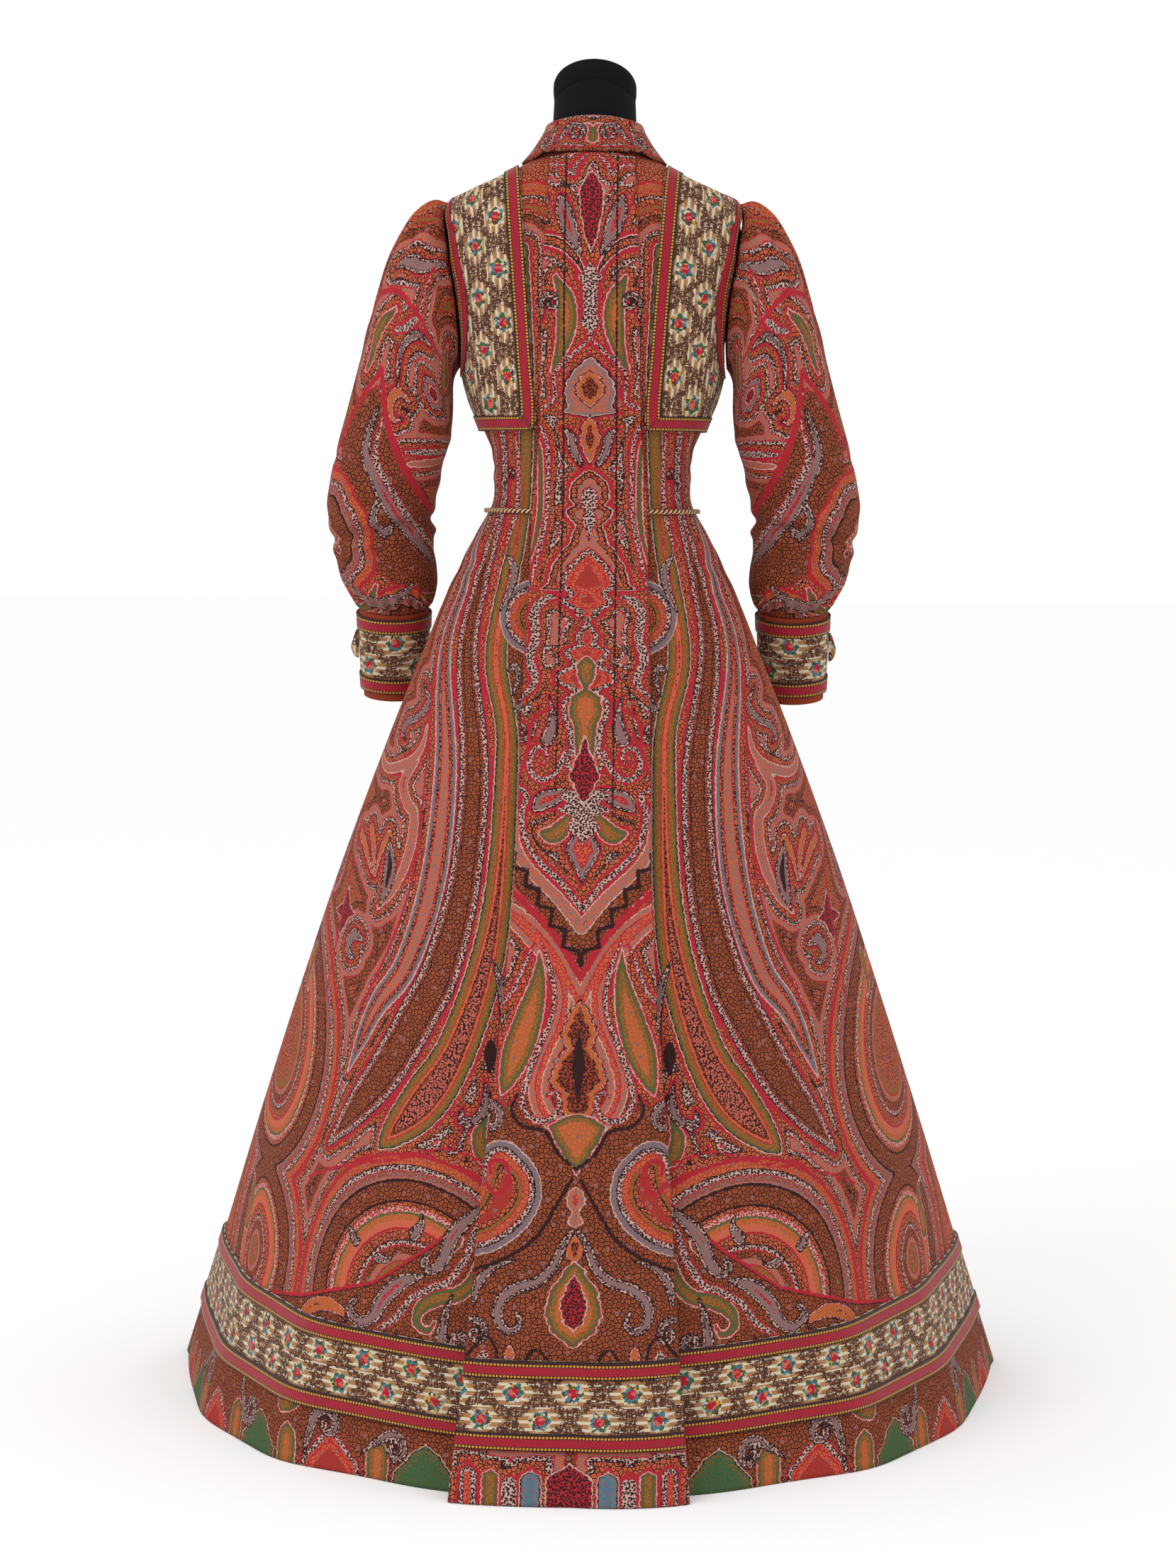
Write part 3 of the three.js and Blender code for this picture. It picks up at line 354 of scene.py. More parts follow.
# Small helpers that add nodes to a material's tree.
class Weave:
    def __init__(self, name, roughness=0.85, sheen=0.0):
        self.material = bpy.data.materials.new(name)
        self.material.use_nodes = True
        self.nodes, self.links = self.material.node_tree.nodes, self.material.node_tree.links
        self.shader = self.nodes["Principled BSDF"]
        self.shader.inputs["Roughness"].default_value = roughness
        self.shader.inputs["Specular IOR Level"].default_value = 0.15
        self.shader.inputs["Sheen Weight"].default_value = sheen
        self.shader.inputs["Sheen Roughness"].default_value = 0.5

    def put(self, socket, value):
        if hasattr(value, "links") and hasattr(value, "is_output"):
            self.links.new(value, socket)
        else:
            socket.default_value = value

    def maths(self, operation, *values, clamp=False):
        node = self.nodes.new("ShaderNodeMath")
        node.operation, node.use_clamp = operation, clamp
        for socket, value in zip(node.inputs, values):
            self.put(socket, value)
        return node.outputs[0]

    def add(self, a, b):
        return self.maths("ADD", a, b)

    def minus(self, a, b):
        return self.maths("SUBTRACT", a, b)

    def times(self, a, b):
        return self.maths("MULTIPLY", a, b)

    def isBelow(self, a, b):
        return self.maths("LESS_THAN", a, b)

    def isAbove(self, a, b):
        return self.maths("GREATER_THAN", a, b)

    # A texture's value about its middle, as a distance.
    def swing(self, value, size, middle=0.5):
        return self.times(self.minus(value, middle), size)

    def attribute(self, name, output="Fac"):
        node = self.nodes.new("ShaderNodeAttribute")
        node.attribute_name = name
        return node.outputs[output]

    def mix(self, share, a, b):
        node = self.nodes.new("ShaderNodeMix")
        node.data_type = "RGBA"
        self.put(node.inputs[0], share)
        self.put(node.inputs[6], a if not isinstance(a, tuple) else (*a[:3], 1))
        self.put(node.inputs[7], b if not isinstance(b, tuple) else (*b[:3], 1))
        return node.outputs[2]

    def mixNumber(self, share, a, b):
        node = self.nodes.new("ShaderNodeMix")
        self.put(node.inputs[0], share)
        self.put(node.inputs[2], a)
        self.put(node.inputs[3], b)
        return node.outputs[0]

    def noise(self, vector, scale, detail=2.0):
        node = self.nodes.new("ShaderNodeTexNoise")
        node.inputs["Scale"].default_value = scale
        node.inputs["Detail"].default_value = detail
        self.links.new(vector, node.inputs["Vector"])
        return node.outputs["Fac"]

    def cells(self, vector, scale, feature="F1", output="Distance", jitter=1.0):
        node = self.nodes.new("ShaderNodeTexVoronoi")
        node.feature = feature
        node.voronoi_dimensions = "2D"
        node.inputs["Scale"].default_value = scale
        node.inputs["Randomness"].default_value = jitter
        self.links.new(vector, node.inputs["Vector"])
        return node.outputs[output]

    def part(self, vector, axis):
        node = self.nodes.new("ShaderNodeSeparateXYZ")
        self.links.new(vector, node.inputs[0])
        return node.outputs[axis]

    # A ramp of flat bands. Each band is (where it starts, colour, alpha).
    def ramp(self, value, bands):
        node = self.nodes.new("ShaderNodeValToRGB")
        ramp = node.color_ramp
        ramp.interpolation = "CONSTANT"
        ramp.elements.remove(ramp.elements[1])
        for k, (start, colour, alpha) in enumerate(bands):
            element = ramp.elements.new(start) if k else ramp.elements[0]
            element.color = (*colour, alpha)
        self.links.new(value, node.inputs[0])
        return node.outputs["Color"], node.outputs["Alpha"]

    def paint(self, colour):
        self.links.new(colour, self.shader.inputs["Base Color"])

    def bump(self, height, distance):
        node = self.nodes.new("ShaderNodeBump")
        node.inputs["Strength"].default_value = 1.0
        node.inputs["Distance"].default_value = distance
        self.links.new(height, node.inputs["Height"])
        self.links.new(node.outputs[0], self.shader.inputs["Normal"])


# Bands of the woven figures, from a figure's edge inwards: width and colour, and where the band isn't plain,
# its second colour and texture: flecked, with small flecks, or grown, with a net of small stems.
textures = {"plain": 0.0, "flecked": 0.5, "grown": 1.0}
figures = {
    "dusk": [(0.0016, "crimson"), (0.2, "brown", "dark", "grown")],
    "stripeA": [(0.001, "white"), (0.001, "dark"), (0.003, "green", "olive", "flecked"),
        (0.0056, "olive", "ochre", "flecked"), (0.0012, "crimson"), (0.0024, "orange"),
        (0.0026, "rust", "dark", "flecked"), (0.02, "dark", "pink", "flecked")],
    "stripeB": [(0.0018, "crimson"), (0.0008, "dark"), (0.0056, "white", "dark", "flecked"),
        (0.001, "crimson"), (0.003, "brown", "dark", "grown"), (0.0014, "dark"),
        (0.04, "brown", "dark", "grown")],
    "stripeC": [(0.0014, "white"), (0.0044, "lavender", "grey", "flecked"), (0.001, "dark"),
        (0.0034, "orange", "dark", "flecked"), (0.0012, "crimson"),
        (0.02, "lavender", "orange", "flecked")],
    "scallop": [(0.0034, "crimson"), (0.009, "orange", "rust", "grown"), (0.0008, "dark"),
        (0.006, "white", "dark", "flecked"), (0.001, "crimson"), (0.0066, "lavender", "rust", "flecked"),
        (0.0018, "orange", "lavender", "flecked"), (0.003, "dark"), (0.02, "brown", "dark", "grown"),
        (0.0022, "dark"), (0.005, "orange", "dark", "grown"), (0.0056, "white", "crimson", "flecked"),
        (0.003, "green"), (0.006, "ochre", "orange", "flecked"), (0.008, "orange", "pink", "grown"),
        (0.0026, "crimson"), (0.011, "orange", "dark", "grown"), (0.001, "dark"),
        (0.0046, "white", "dark", "flecked"), (0.0014, "crimson"), (0.009, "brown", "dark", "grown"),
        (0.006, "lavender", "orange", "flecked"), (0.0018, "crimson"), (0.008, "olive", "ochre", "flecked"),
        (0.2, "orange", "dark", "grown")],
    "comma": [(0.0012, "white"), (0.0056, "lavender", "grey", "flecked"), (0.0008, "dark"),
        (0.0052, "white", "dark", "flecked"), (0.0014, "crimson"), (0.006, "orange", "rust", "grown"),
        (0.0014, "crimson"), (0.004, "ochre", "olive", "flecked"), (0.0012, "dark"),
        (0.005, "orange", "dark", "grown"), (0.2, "rust", "crimson", "grown")],
    "sweep": [(0.0036, "crimson"), (0.0012, "dark"), (0.2, "brown", "dark", "grown")],
    "lavender": [(0.001, "white"), (0.0064, "lavender", "orange", "flecked"), (0.0012, "crimson"),
        (0.0056, "orange", "crimson", "grown"), (0.001, "white"), (0.007, "lavender", "orange", "flecked"),
        (0.0012, "crimson"), (0.2, "rust", "dark", "grown")],
    "pool": [(0.001, "white"), (0.0012, "dark"), (0.005, "blue", "lavender", "flecked"),
        (0.2, "grey", "blue", "flecked")],
    "grove": [(0.001, "white"), (0.0012, "dark"), (0.007, "leafGreen", "olive", "flecked"),
        (0.2, "leafGreen", "green", "flecked")],
    "frame": [(0.0024, "crimson"), (0.0009, "white"), (0.0018, "dark"), (0.0052, "orange", "dark", "grown"),
        (0.001, "dark"), (0.2, "lavender", "orange", "flecked")],
    "tent": [(0.0016, "dark"), (0.001, "white"), (0.0044, "lavender"),
        (0.2, "lavender", "orange", "flecked")],
    "medal": [(0.0014, "crimson"), (0.0008, "dark"), (0.005, "white", "dark", "flecked"), (0.0008, "dark"),
        (0.003, "orange", "crimson", "grown"), (0.002, "crimson"), (0.006, "orange", "crimson", "grown"),
        (0.2, "crimson", "rust", "flecked")],
    "palm": [(0.0009, "dark"), (0.0016, "white", "crimson", "flecked"),
        (0.0052, "orange", "ochre", "grown"), (0.2, "rust", "dark", "flecked")],
    "leaf": [(0.0011, "white"), (0.0009, "crimson"), (0.0036, "green"),
        (0.005, "olive", "ochre", "flecked"), (0.2, "orange", "ochre", "grown")],
    "scroll": [(0.0008, "dark"), (0.002, "white", "dark", "flecked"), (0.0008, "dark"),
        (0.0044, "lavender"), (0.001, "crimson"), (0.2, "orange", "crimson", "flecked")],
    "speck": [(0.0008, "crimson"), (0.2, "white", "dark", "flecked")],
    "niche": [(0.001, "white"), (0.2, "crimson", "dark", "flecked")],
    "line": [(0.2, "crimson")],
    "ink": [(0.2, "dark")],
}
# From the lowest figure to the one that lies over all the others.
figureOrder = (
    "dusk", "lavender", "stripeC", "stripeB", "stripeA", "scallop", "sweep", "comma", "frame", "tent",
    "medal", "palm", "leaf", "pool", "grove", "scroll", "speck", "niche", "line", "ink")
figureSpread = {"speck": 0.0005, "ink": 0.0004, "line": 0.0003}  # what the lobed edges take off thin lines
# Bands of the open ground, outwards from the nearest figure.
echoes = [
    (0.0018, "crimson"), (0.0056, "orange", "dark", "grown"), (0.001, "dark"),
    (0.0036, "white", "dark", "flecked"), (0.0014, "crimson"), (0.006, "lavender", "orange", "flecked"),
    (0.0016, "crimson"), (0.0074, "brown", "dark", "grown"), (0.0012, "dark"),
    (0.005, "orange", "dark", "grown"), (0.0014, "crimson"), (0.0036, "olive", "ochre", "flecked"),
    (0.0014, "crimson"), (0.008, "orange", "dark", "grown"), (0.0026, "white", "dark", "flecked"),
    (0.001, "dark"), (0.005, "rust", "orange", "flecked"), (0.0016, "crimson"),
    (0.01, "brown", "orange", "grown"), (0.003, "crimson"), (0.2, "orange", "dark", "grown"),
]
fieldReach = 0.16
# Sizes of the small textures in the bands. The shares are of a cell.
grain = {
    "net": 0.005, "stem": 0.11, "dot": 0.12, "fleck": 0.0027, "fleckShare": 0.43, "lobe": 0.0044,
    "lobeDepth": 0.0022, "floret": 0.026,
}


def shawlMaterial(name):
    weave = Weave(name, roughness=0.88)
    place = weave.attribute("place", "Vector")
    stems = weave.isBelow(weave.cells(place, 1 / grain["net"], "DISTANCE_TO_EDGE"), grain["stem"])
    dots = weave.isBelow(weave.cells(place, 1 / grain["net"]), grain["dot"])
    grown = weave.maths("MAXIMUM", stems, dots)
    flecked = weave.isBelow(weave.cells(place, 1 / grain["fleck"]), grain["fleckShare"])
    lobes = weave.swing(weave.cells(place, 1 / grain["lobe"], jitter=0.7), grain["lobeDepth"], 0.42)
    wander = weave.add(weave.swing(weave.noise(place, 420, 1.0), 0.001), lobes)

    def banded(distance, way, bands):
        start, firsts, seconds = 0.0, [], []
        for width, colour, *rest in bands:
            other, texture = rest or (colour, "plain")
            firsts.append((start, dye(colour), textures[texture]))
            seconds.append((start, dye(other), 1.0))
            start = min(start + width / fieldReach, 0.999)
        depth = weave.maths("DIVIDE", distance, way * fieldReach, clamp=True)
        colour, alpha = weave.ramp(depth, firsts)
        return colour, weave.ramp(depth, seconds)[0], alpha

    slow = weave.swing(weave.noise(place, 22, 2.0), 0.012)
    away = weave.add(weave.add(weave.attribute("echo"), wander), slow)
    main, second, kind = banded(away, 1, echoes)
    for figure in figureOrder:
        edge = weave.minus(weave.attribute(figure), figureSpread.get(figure, 0.0))
        distance = weave.add(edge, wander)
        inside = weave.isBelow(distance, 0.0)
        colour, other, alpha = banded(distance, -1, figures[figure])
        main = weave.mix(inside, main, colour)
        second = weave.mix(inside, second, other)
        kind = weave.mixNumber(inside, kind, alpha)
    isFlecked = weave.times(weave.isBelow(weave.maths("ABSOLUTE", weave.minus(kind, 0.5)), 0.2), flecked)
    hasNet = weave.isAbove(kind, 0.8)
    pattern = weave.mix(weave.maths("MAXIMUM", isFlecked, weave.times(hasNet, grown)), main, second)

    # tiny florets, a few to a hand's width
    seeds = weave.cells(place, 1 / grain["floret"])
    for size, colour in ((0.085, "lavender"), (0.035, "crimson")):
        pattern = weave.mix(weave.times(weave.isBelow(seeds, size), hasNet), pattern, dye(colour))
    weave.paint(clothAge(weave, place, pattern))
    twill(weave, place, 0.0011, 0.00022)
    return weave.material


# Slow changes of tone over the cloth, and the thread's own small ones.
def clothAge(weave, place, colour, depth=0.16):
    slow = weave.noise(place, 9, 3.0)
    fine = weave.noise(place, 900, 2.0)
    tone = weave.add(weave.times(slow, depth), weave.times(fine, depth * 1.3))
    shade = weave.add(1.0 - depth * 1.15, tone)
    node = weave.nodes.new("ShaderNodeVectorMath")
    node.operation = "SCALE"
    weave.put(node.inputs[0], colour)
    weave.links.new(shade, node.inputs["Scale"])
    return node.outputs[0]


def twill(weave, place, pitch, depth):
    diagonal = weave.add(weave.part(place, 0), weave.part(place, 1))
    ridge = weave.maths("SINE", weave.times(diagonal, 2 * math.pi / pitch))
    weave.bump(weave.add(weave.times(ridge, 0.3), weave.noise(place, 700, 2.0)), depth)


def plainMaterial(name, colour, roughness, pitch, depth):
    weave = Weave(name, roughness=roughness)
    place = weave.attribute("place", "Vector")
    weave.paint(clothAge(weave, place, dye(colour)))
    twill(weave, place, pitch, depth)
    return weave.material


bouquet = {  # halo, leaves and bloom are shares of its size
    "pitch": 0.062, "rows": 0.03, "size": 0.0136, "stripe": 0.008, "opening": 0.0232, "halo": 0.88,
    "leaves": 0.76, "bloom": 0.4,
}


# Cream cloth with tan stripes, brown ikat clouds between two rows of bouquets, and the bouquets.
def floweredMaterial(name):
    weave = Weave(name, roughness=0.82, sheen=0.05)
    place = weave.attribute("place", "Vector")
    along, over = weave.part(place, 0), weave.part(place, 1)
    stripe = weave.maths("SINE", weave.times(over, 2 * math.pi / bouquet["stripe"]))
    stripe = weave.add(stripe, weave.times(weave.noise(place, 300), 0.5))
    colour = weave.mix(weave.isAbove(stripe, -0.05), dye("cream"), dye("tan"))
    row = weave.maths("FLOOR", weave.maths("DIVIDE", over, bouquet["rows"]))
    odd = weave.maths("ABSOLUTE", weave.maths("MODULO", row, 2.0))
    shifted = weave.add(along, weave.times(odd, bouquet["pitch"] / 2))
    u = weave.swing(weave.maths("FRACT", weave.maths("DIVIDE", shifted, bouquet["pitch"])), bouquet["pitch"])
    v = weave.swing(weave.maths("FRACT", weave.maths("DIVIDE", over, bouquet["rows"])), bouquet["rows"])

    # ikat threads blur sideways, in short strokes of the warp
    def dashes(*scale):
        node = weave.nodes.new("ShaderNodeMapping")
        node.inputs["Scale"].default_value = (*scale, 1)
        weave.links.new(place, node.inputs["Vector"])
        return weave.noise(node.outputs[0], 1.0, 1.0)

    jag = weave.swing(dashes(150, 420), 0.018)
    patch = weave.swing(weave.noise(place, 70, 1.0), 0.006)
    lattice = weave.add(weave.maths("ABSOLUTE", u), weave.maths("ABSOLUTE", v))
    cloud = weave.isAbove(weave.add(weave.add(lattice, jag), patch), bouquet["opening"])
    threads = weave.isAbove(weave.maths("MAXIMUM", dashes(520, 150), dashes(150, 520)), 0.5)
    colour = weave.mix(weave.times(cloud, threads), colour, dye("cloud"))
    radius = weave.maths("SQRT", weave.add(weave.times(u, u), weave.times(v, v)))
    petals = weave.times(weave.maths("COSINE", weave.times(weave.maths("ARCTAN2", v, u), 6.0)), 0.0016)
    ragged = weave.add(radius, weave.swing(weave.noise(place, 500, 1.0), 0.006))
    halo = weave.isBelow(ragged, bouquet["size"] * bouquet["halo"])
    colour = weave.mix(weave.times(halo, 0.65), colour, dye("cream"))
    leaves = weave.isBelow(weave.minus(ragged, petals), bouquet["size"] * bouquet["leaves"])
    spots = weave.cells(place, 1 / 0.003, "F1", "Color")
    pick, foliage = weave.part(spots, 0), dye("leafGreen")
    for share, leaf in ((0.38, "blue"), (0.62, "cloud"), (0.8, "cream"), (0.92, "yellow")):
        foliage = weave.mix(weave.isAbove(pick, share), foliage, dye(leaf))
    colour = weave.mix(leaves, colour, foliage)
    bloom = weave.isBelow(weave.add(radius, weave.times(petals, 0.3)), bouquet["size"] * bouquet["bloom"])
    rose = weave.mix(weave.isAbove(weave.part(spots, 1), 0.6), dye("rose"), dye("pink"))
    weave.paint(clothAge(weave, place, weave.mix(bloom, colour, rose), 0.12))
    twill(weave, place, 0.0013, 0.0002)
    return weave.material


ribbonDots = {"edge": 0.0023, "pitch": 0.0038, "radius": 0.00135, "dark": 0.0042, "rib": 0.0012}


# Ribbed crimson ribbon with a row of yellow dots on dark along each edge.
def ribbonMaterial(name):
    weave = Weave(name, roughness=0.55, sheen=0.1)
    place = weave.attribute("place", "Vector")
    along, over = weave.part(place, 0), weave.part(place, 1)
    fromEdge = weave.maths("MINIMUM", over, weave.minus(bolero["ribbon"], over))
    step = weave.maths("FRACT", weave.maths("DIVIDE", along, ribbonDots["pitch"]))
    step = weave.swing(step, ribbonDots["pitch"])
    high = weave.minus(fromEdge, ribbonDots["edge"])
    radius = weave.maths("SQRT", weave.add(weave.times(step, step), weave.times(high, high)))
    isDot = weave.isBelow(radius, ribbonDots["radius"])
    rib = weave.maths("SINE", weave.times(along, 2 * math.pi / ribbonDots["rib"]))
    ground = weave.mix(weave.times(weave.noise(place, 60), 0.5), dye("rose"), dye("maroon"))
    colour = weave.mix(weave.isBelow(fromEdge, ribbonDots["dark"]), ground, dye("dark"))
    colour = weave.mix(isDot, colour, dye("yellow"))
    weave.paint(clothAge(weave, place, colour, 0.12))
    weave.bump(weave.add(weave.times(rib, 0.4), weave.times(isDot, 1.5)), 0.0003)
    return weave.material


def objectMaterial(name, colour, roughness, scale, depth, metallic=0.0):
    weave = Weave(name, roughness=roughness)
    place = weave.nodes.new("ShaderNodeTexCoord").outputs["Object"]
    weave.shader.inputs["Metallic"].default_value = metallic
    weave.paint(clothAge(weave, place, dye(colour), 0.2))
    weave.bump(weave.noise(place, scale, 3.0), depth)
    return weave.material


shawlCloth = shawlMaterial("shawlCloth")
plainShawl = plainMaterial("plainShawl", "rust", 0.86, 0.0011, 0.0002)
lining = plainMaterial("lining", "lining", 0.9, 0.0012, 0.0002)
floweredCloth = floweredMaterial("floweredCloth")
ribbonCloth = ribbonMaterial("ribbonCloth")
jersey = objectMaterial("jersey", "black", 0.92, 1500, 0.0003)
enamel = objectMaterial("enamel", "black", 0.4, 200, 0.0001, 0.4)
silkMaroon = objectMaterial("silkMaroon", "maroon", 0.45, 1800, 0.0003)
silkGold = objectMaterial("silkGold", "silk", 0.45, 1800, 0.0003)
print("finishes made")


# The woven figures are kept as distances to their edges.
# Places are in metres on the cloth: across from the centre line, and up from the waist along the hang.


def segmentField(s, t, path):
    best = np.full(s.shape, fieldReach)
    for (ax, ay, ar), (bx, by, br) in zip(path[:-1], path[1:]):
        dx, dy = bx - ax, by - ay
        share = np.clip(((s - ax) * dx + (t - ay) * dy) / max(dx * dx + dy * dy, 1e-12), 0, 1)
        best = np.minimum(best, np.hypot(s - ax - share * dx, t - ay - share * dy) - (ar + share * (br - ar)))
    return best


# A smooth tapering stroke through a few places, each with its half width.
def stroke(points, steps=8):
    points = np.array(points, float)
    slopes = np.gradient(points, axis=0)
    u = np.linspace(0, len(points) - 1, (len(points) - 1) * steps + 1)
    i = np.minimum(u.astype(int), len(points) - 2)
    return between(points[i], points[i + 1], slopes[i], slopes[i + 1], 1, (u - i)[:, None])


def placed(path, s, t, size=1.0, turn=0.0, flip=1):
    c, n = math.cos(math.radians(turn)), math.sin(math.radians(turn))
    x, y, r = path[:, 0] * flip * size, path[:, 1] * size, path[:, 2] * size
    return np.stack((s + x * c - y * n, t + x * n + y * c, r), 1)


# A volute that winds in from a tail, one unit across.
def volute(turns=1.15, radius=0.42, thick=0.16, tail=1.2):
    k = np.linspace(0, turns * 2 * math.pi, 44)
    r = radius * (1 - 0.86 * k / k[-1])
    spiral = np.stack((r * np.cos(k), r * np.sin(k), thick * (1 - 0.5 * k / k[-1])), 1)
    tip = np.array([[radius * 0.75, -tail, thick * 0.15], [radius * 0.98, -tail * 0.5, thick * 0.7]])
    return np.concatenate((tip, spiral))


# A boteh: a drop with its tip bent over.
def boteh(bend=0.35):
    tip = [(bend * 0.7, 0.56, 0.08), (bend * 1.5, 0.6, 0.02)]
    return stroke([(0, -0.18, 0.25), (0.02, 0.08, 0.23), (0.06, 0.34, 0.15)] + tip)


# A figure that is the same on both sides of its middle: half widths at places up the cloth, with lobes along
# its edge.
def upright(s, t, table, lobe=0.0, pitch=0.012, middle=0.0):
    rows = np.array(sorted(table), float)
    ups, halves = rows[:, 0], rows[:, 1]
    inside = np.clip(t, ups[0], ups[-1])
    i = np.clip(np.searchsorted(ups, inside, side="right") - 1, 0, len(ups) - 2)
    span = ups[i + 1] - ups[i]
    k = (inside - ups[i]) / span
    h = k * k * (3 - 2 * k)
    half = halves[i] * (1 - h) + halves[i + 1] * h
    steep = np.hypot(1, (halves[i + 1] - halves[i]) / span)
    half = half + lobe * np.abs(np.sin(np.pi * t / pitch)) * np.minimum(1, half / 0.01)
    beyond = np.maximum(ups[0] - t, t - ups[-1])
    return np.maximum((np.abs(s - middle) - half) / steep, beyond)


def ringed(middle, radius, lobes=0, size=0.0):
    def field(s, t):
        ds, dt = s - middle[0], t - middle[1]
        reach = np.hypot(ds, dt)
        return reach - radius - (size * np.abs(np.sin(lobes / 2 * np.arctan2(dt, ds))) if lobes else 0)

    return field


# Fields for a cloth piece. A pattern lists figures, each with its path or a function of the two places.
# The echo is the distance to the nearest figure, for the bands of the open ground.
unechoed = ("line", "ink", "dusk", "niche")


def shawlFields(pattern, s, t):
    fields = {figure: np.full(s.shape, fieldReach) for figure in figureOrder}
    echo = np.full(s.shape, fieldReach)
    for figure, shape in pattern:
        if callable(shape):
            distance = shape(s, t)
            fields[figure] = np.minimum(fields[figure], distance)
            if figure not in unechoed:
                echo = np.minimum(echo, distance)
            continue
        span = shape[:, 2:].max() + (0.02 if figure in unechoed else 0.07)
        low, high = (shape[:, :2] - span).min(0), (shape[:, :2] + span).max(0)
        close = (s > low[0]) & (s < high[0]) & (t > low[1]) & (t < high[1])
        if close.any():
            distance = segmentField(s[close], t[close], shape)
            fields[figure][close] = np.minimum(fields[figure][close], distance)
            if figure not in unechoed:
                echo[close] = np.minimum(echo[close], distance)
    fields = {figure: np.clip(values, -fieldReach, 0.03) for figure, values in fields.items()}
    fields["echo"] = np.clip(echo, 0, fieldReach)
    fields["place"] = np.stack((s, t, np.zeros_like(s)), -1)
    return fields


# Long leaves from the waist to the train: across, up, half width.
longLeaves = {
    "stripeA": [(0.076, 0.3, 0.006), (0.072, 0.17, 0.009), (0.076, 0.072, 0.01), (0.085, -0.028, 0.012),
        (0.107, -0.168, 0.015), (0.092, -0.251, 0.014), (0.089, -0.303, 0.0145), (0.093, -0.437, 0.0165),
        (0.107, -0.535, 0.021), (0.14, -0.633, 0.025), (0.177, -0.69, 0.029), (0.214, -0.728, 0.018),
        (0.234, -0.748, 0.003)],
    "stripeB": [(0.122, 0.26, 0.008), (0.112, 0.12, 0.008), (0.114, 0.006, 0.009), (0.132, -0.078, 0.014),
        (0.148, -0.168, 0.018), (0.13, -0.303, 0.021), (0.136, -0.439, 0.023), (0.161, -0.539, 0.027),
        (0.183, -0.583, 0.028), (0.228, -0.655, 0.028), (0.276, -0.708, 0.023), (0.33, -0.757, 0.006)],
    "stripeC": [(0.15, 0.02, 0.004), (0.16, -0.08, 0.007), (0.187, -0.168, 0.012), (0.17, -0.305, 0.017),
        (0.179, -0.441, 0.019), (0.212, -0.541, 0.018), (0.254, -0.589, 0.016), (0.28, -0.63, 0.012),
        (0.303, -0.672, 0.002)],
    "dusk": [(0.05, 0.07, 0.026), (0.055, -0.06, 0.036), (0.062, -0.168, 0.036), (0.046, -0.303, 0.031),
        (0.044, -0.457, 0.034), (0.052, -0.616, 0.036), (0.06, -0.71, 0.022)],
}
scallops = [((0.192, -0.912), 0.162), ((0.505, -0.66), 0.178), ((0.5, -0.905), 0.135)]
sweepLine = [(0.02, -0.735), (0.096, -0.788), (0.159, -0.845), (0.234, -0.895), (0.35, -0.926), (0.7, -0.975)]
volutes = [  # figure, across, up, size, turn, flip
    ("scroll", 0.4, -0.3, 0.046, 10, 1), ("scroll", 0.42, -0.44, 0.04, 190, 1),
    ("scroll", 0.29, -1.06, 0.044, 20, 1), ("scroll", 0.44, -1.07, 0.044, 160, -1),
    ("scroll", 0.2, -1.075, 0.04, 60, 1), ("scroll", 0.6, -1.06, 0.046, 60, 1),
    ("scroll", 0.16, 0.16, 0.03, 70, 1), ("scroll", 0.1, 0.04, 0.018, 20, 1),
    ("scroll", 0.36, -0.985, 0.036, 60, -1), ("scroll", 0.23, -0.985, 0.04, 200, 1),
    ("scroll", 0.055, -0.8, 0.04, 20, 1), ("scroll", 0.055, -0.93, 0.04, 80, 1),
    ("scroll", 0.13, -0.95, 0.044, 190, -1), ("scroll", 0.45, -0.985, 0.044, 10, 1),
    ("scroll", 0.56, -0.96, 0.044, 120, 1),
]
botehs = [  # figure, across, up, size, turn, flip
    ("leaf", 0.42, -0.36, 0.06, 20, 1), ("leaf", 0.35, -1.045, 0.05, 80, 1),
    ("leaf", 0.56, -0.87, 0.06, 20, 1), ("leaf", 0.14, -0.85, 0.03, 70, 1),
    ("scroll", 0.3, -0.955, 0.044, 100, 1), ("scroll", 0.18, -0.835, 0.03, 40, 1),
    ("scroll", 0.262, -0.85, 0.026, -30, 1), ("scroll", 0.226, -0.87, 0.024, 100, 1),
    ("leaf", 0.45, -0.56, 0.05, 200, 1),
]
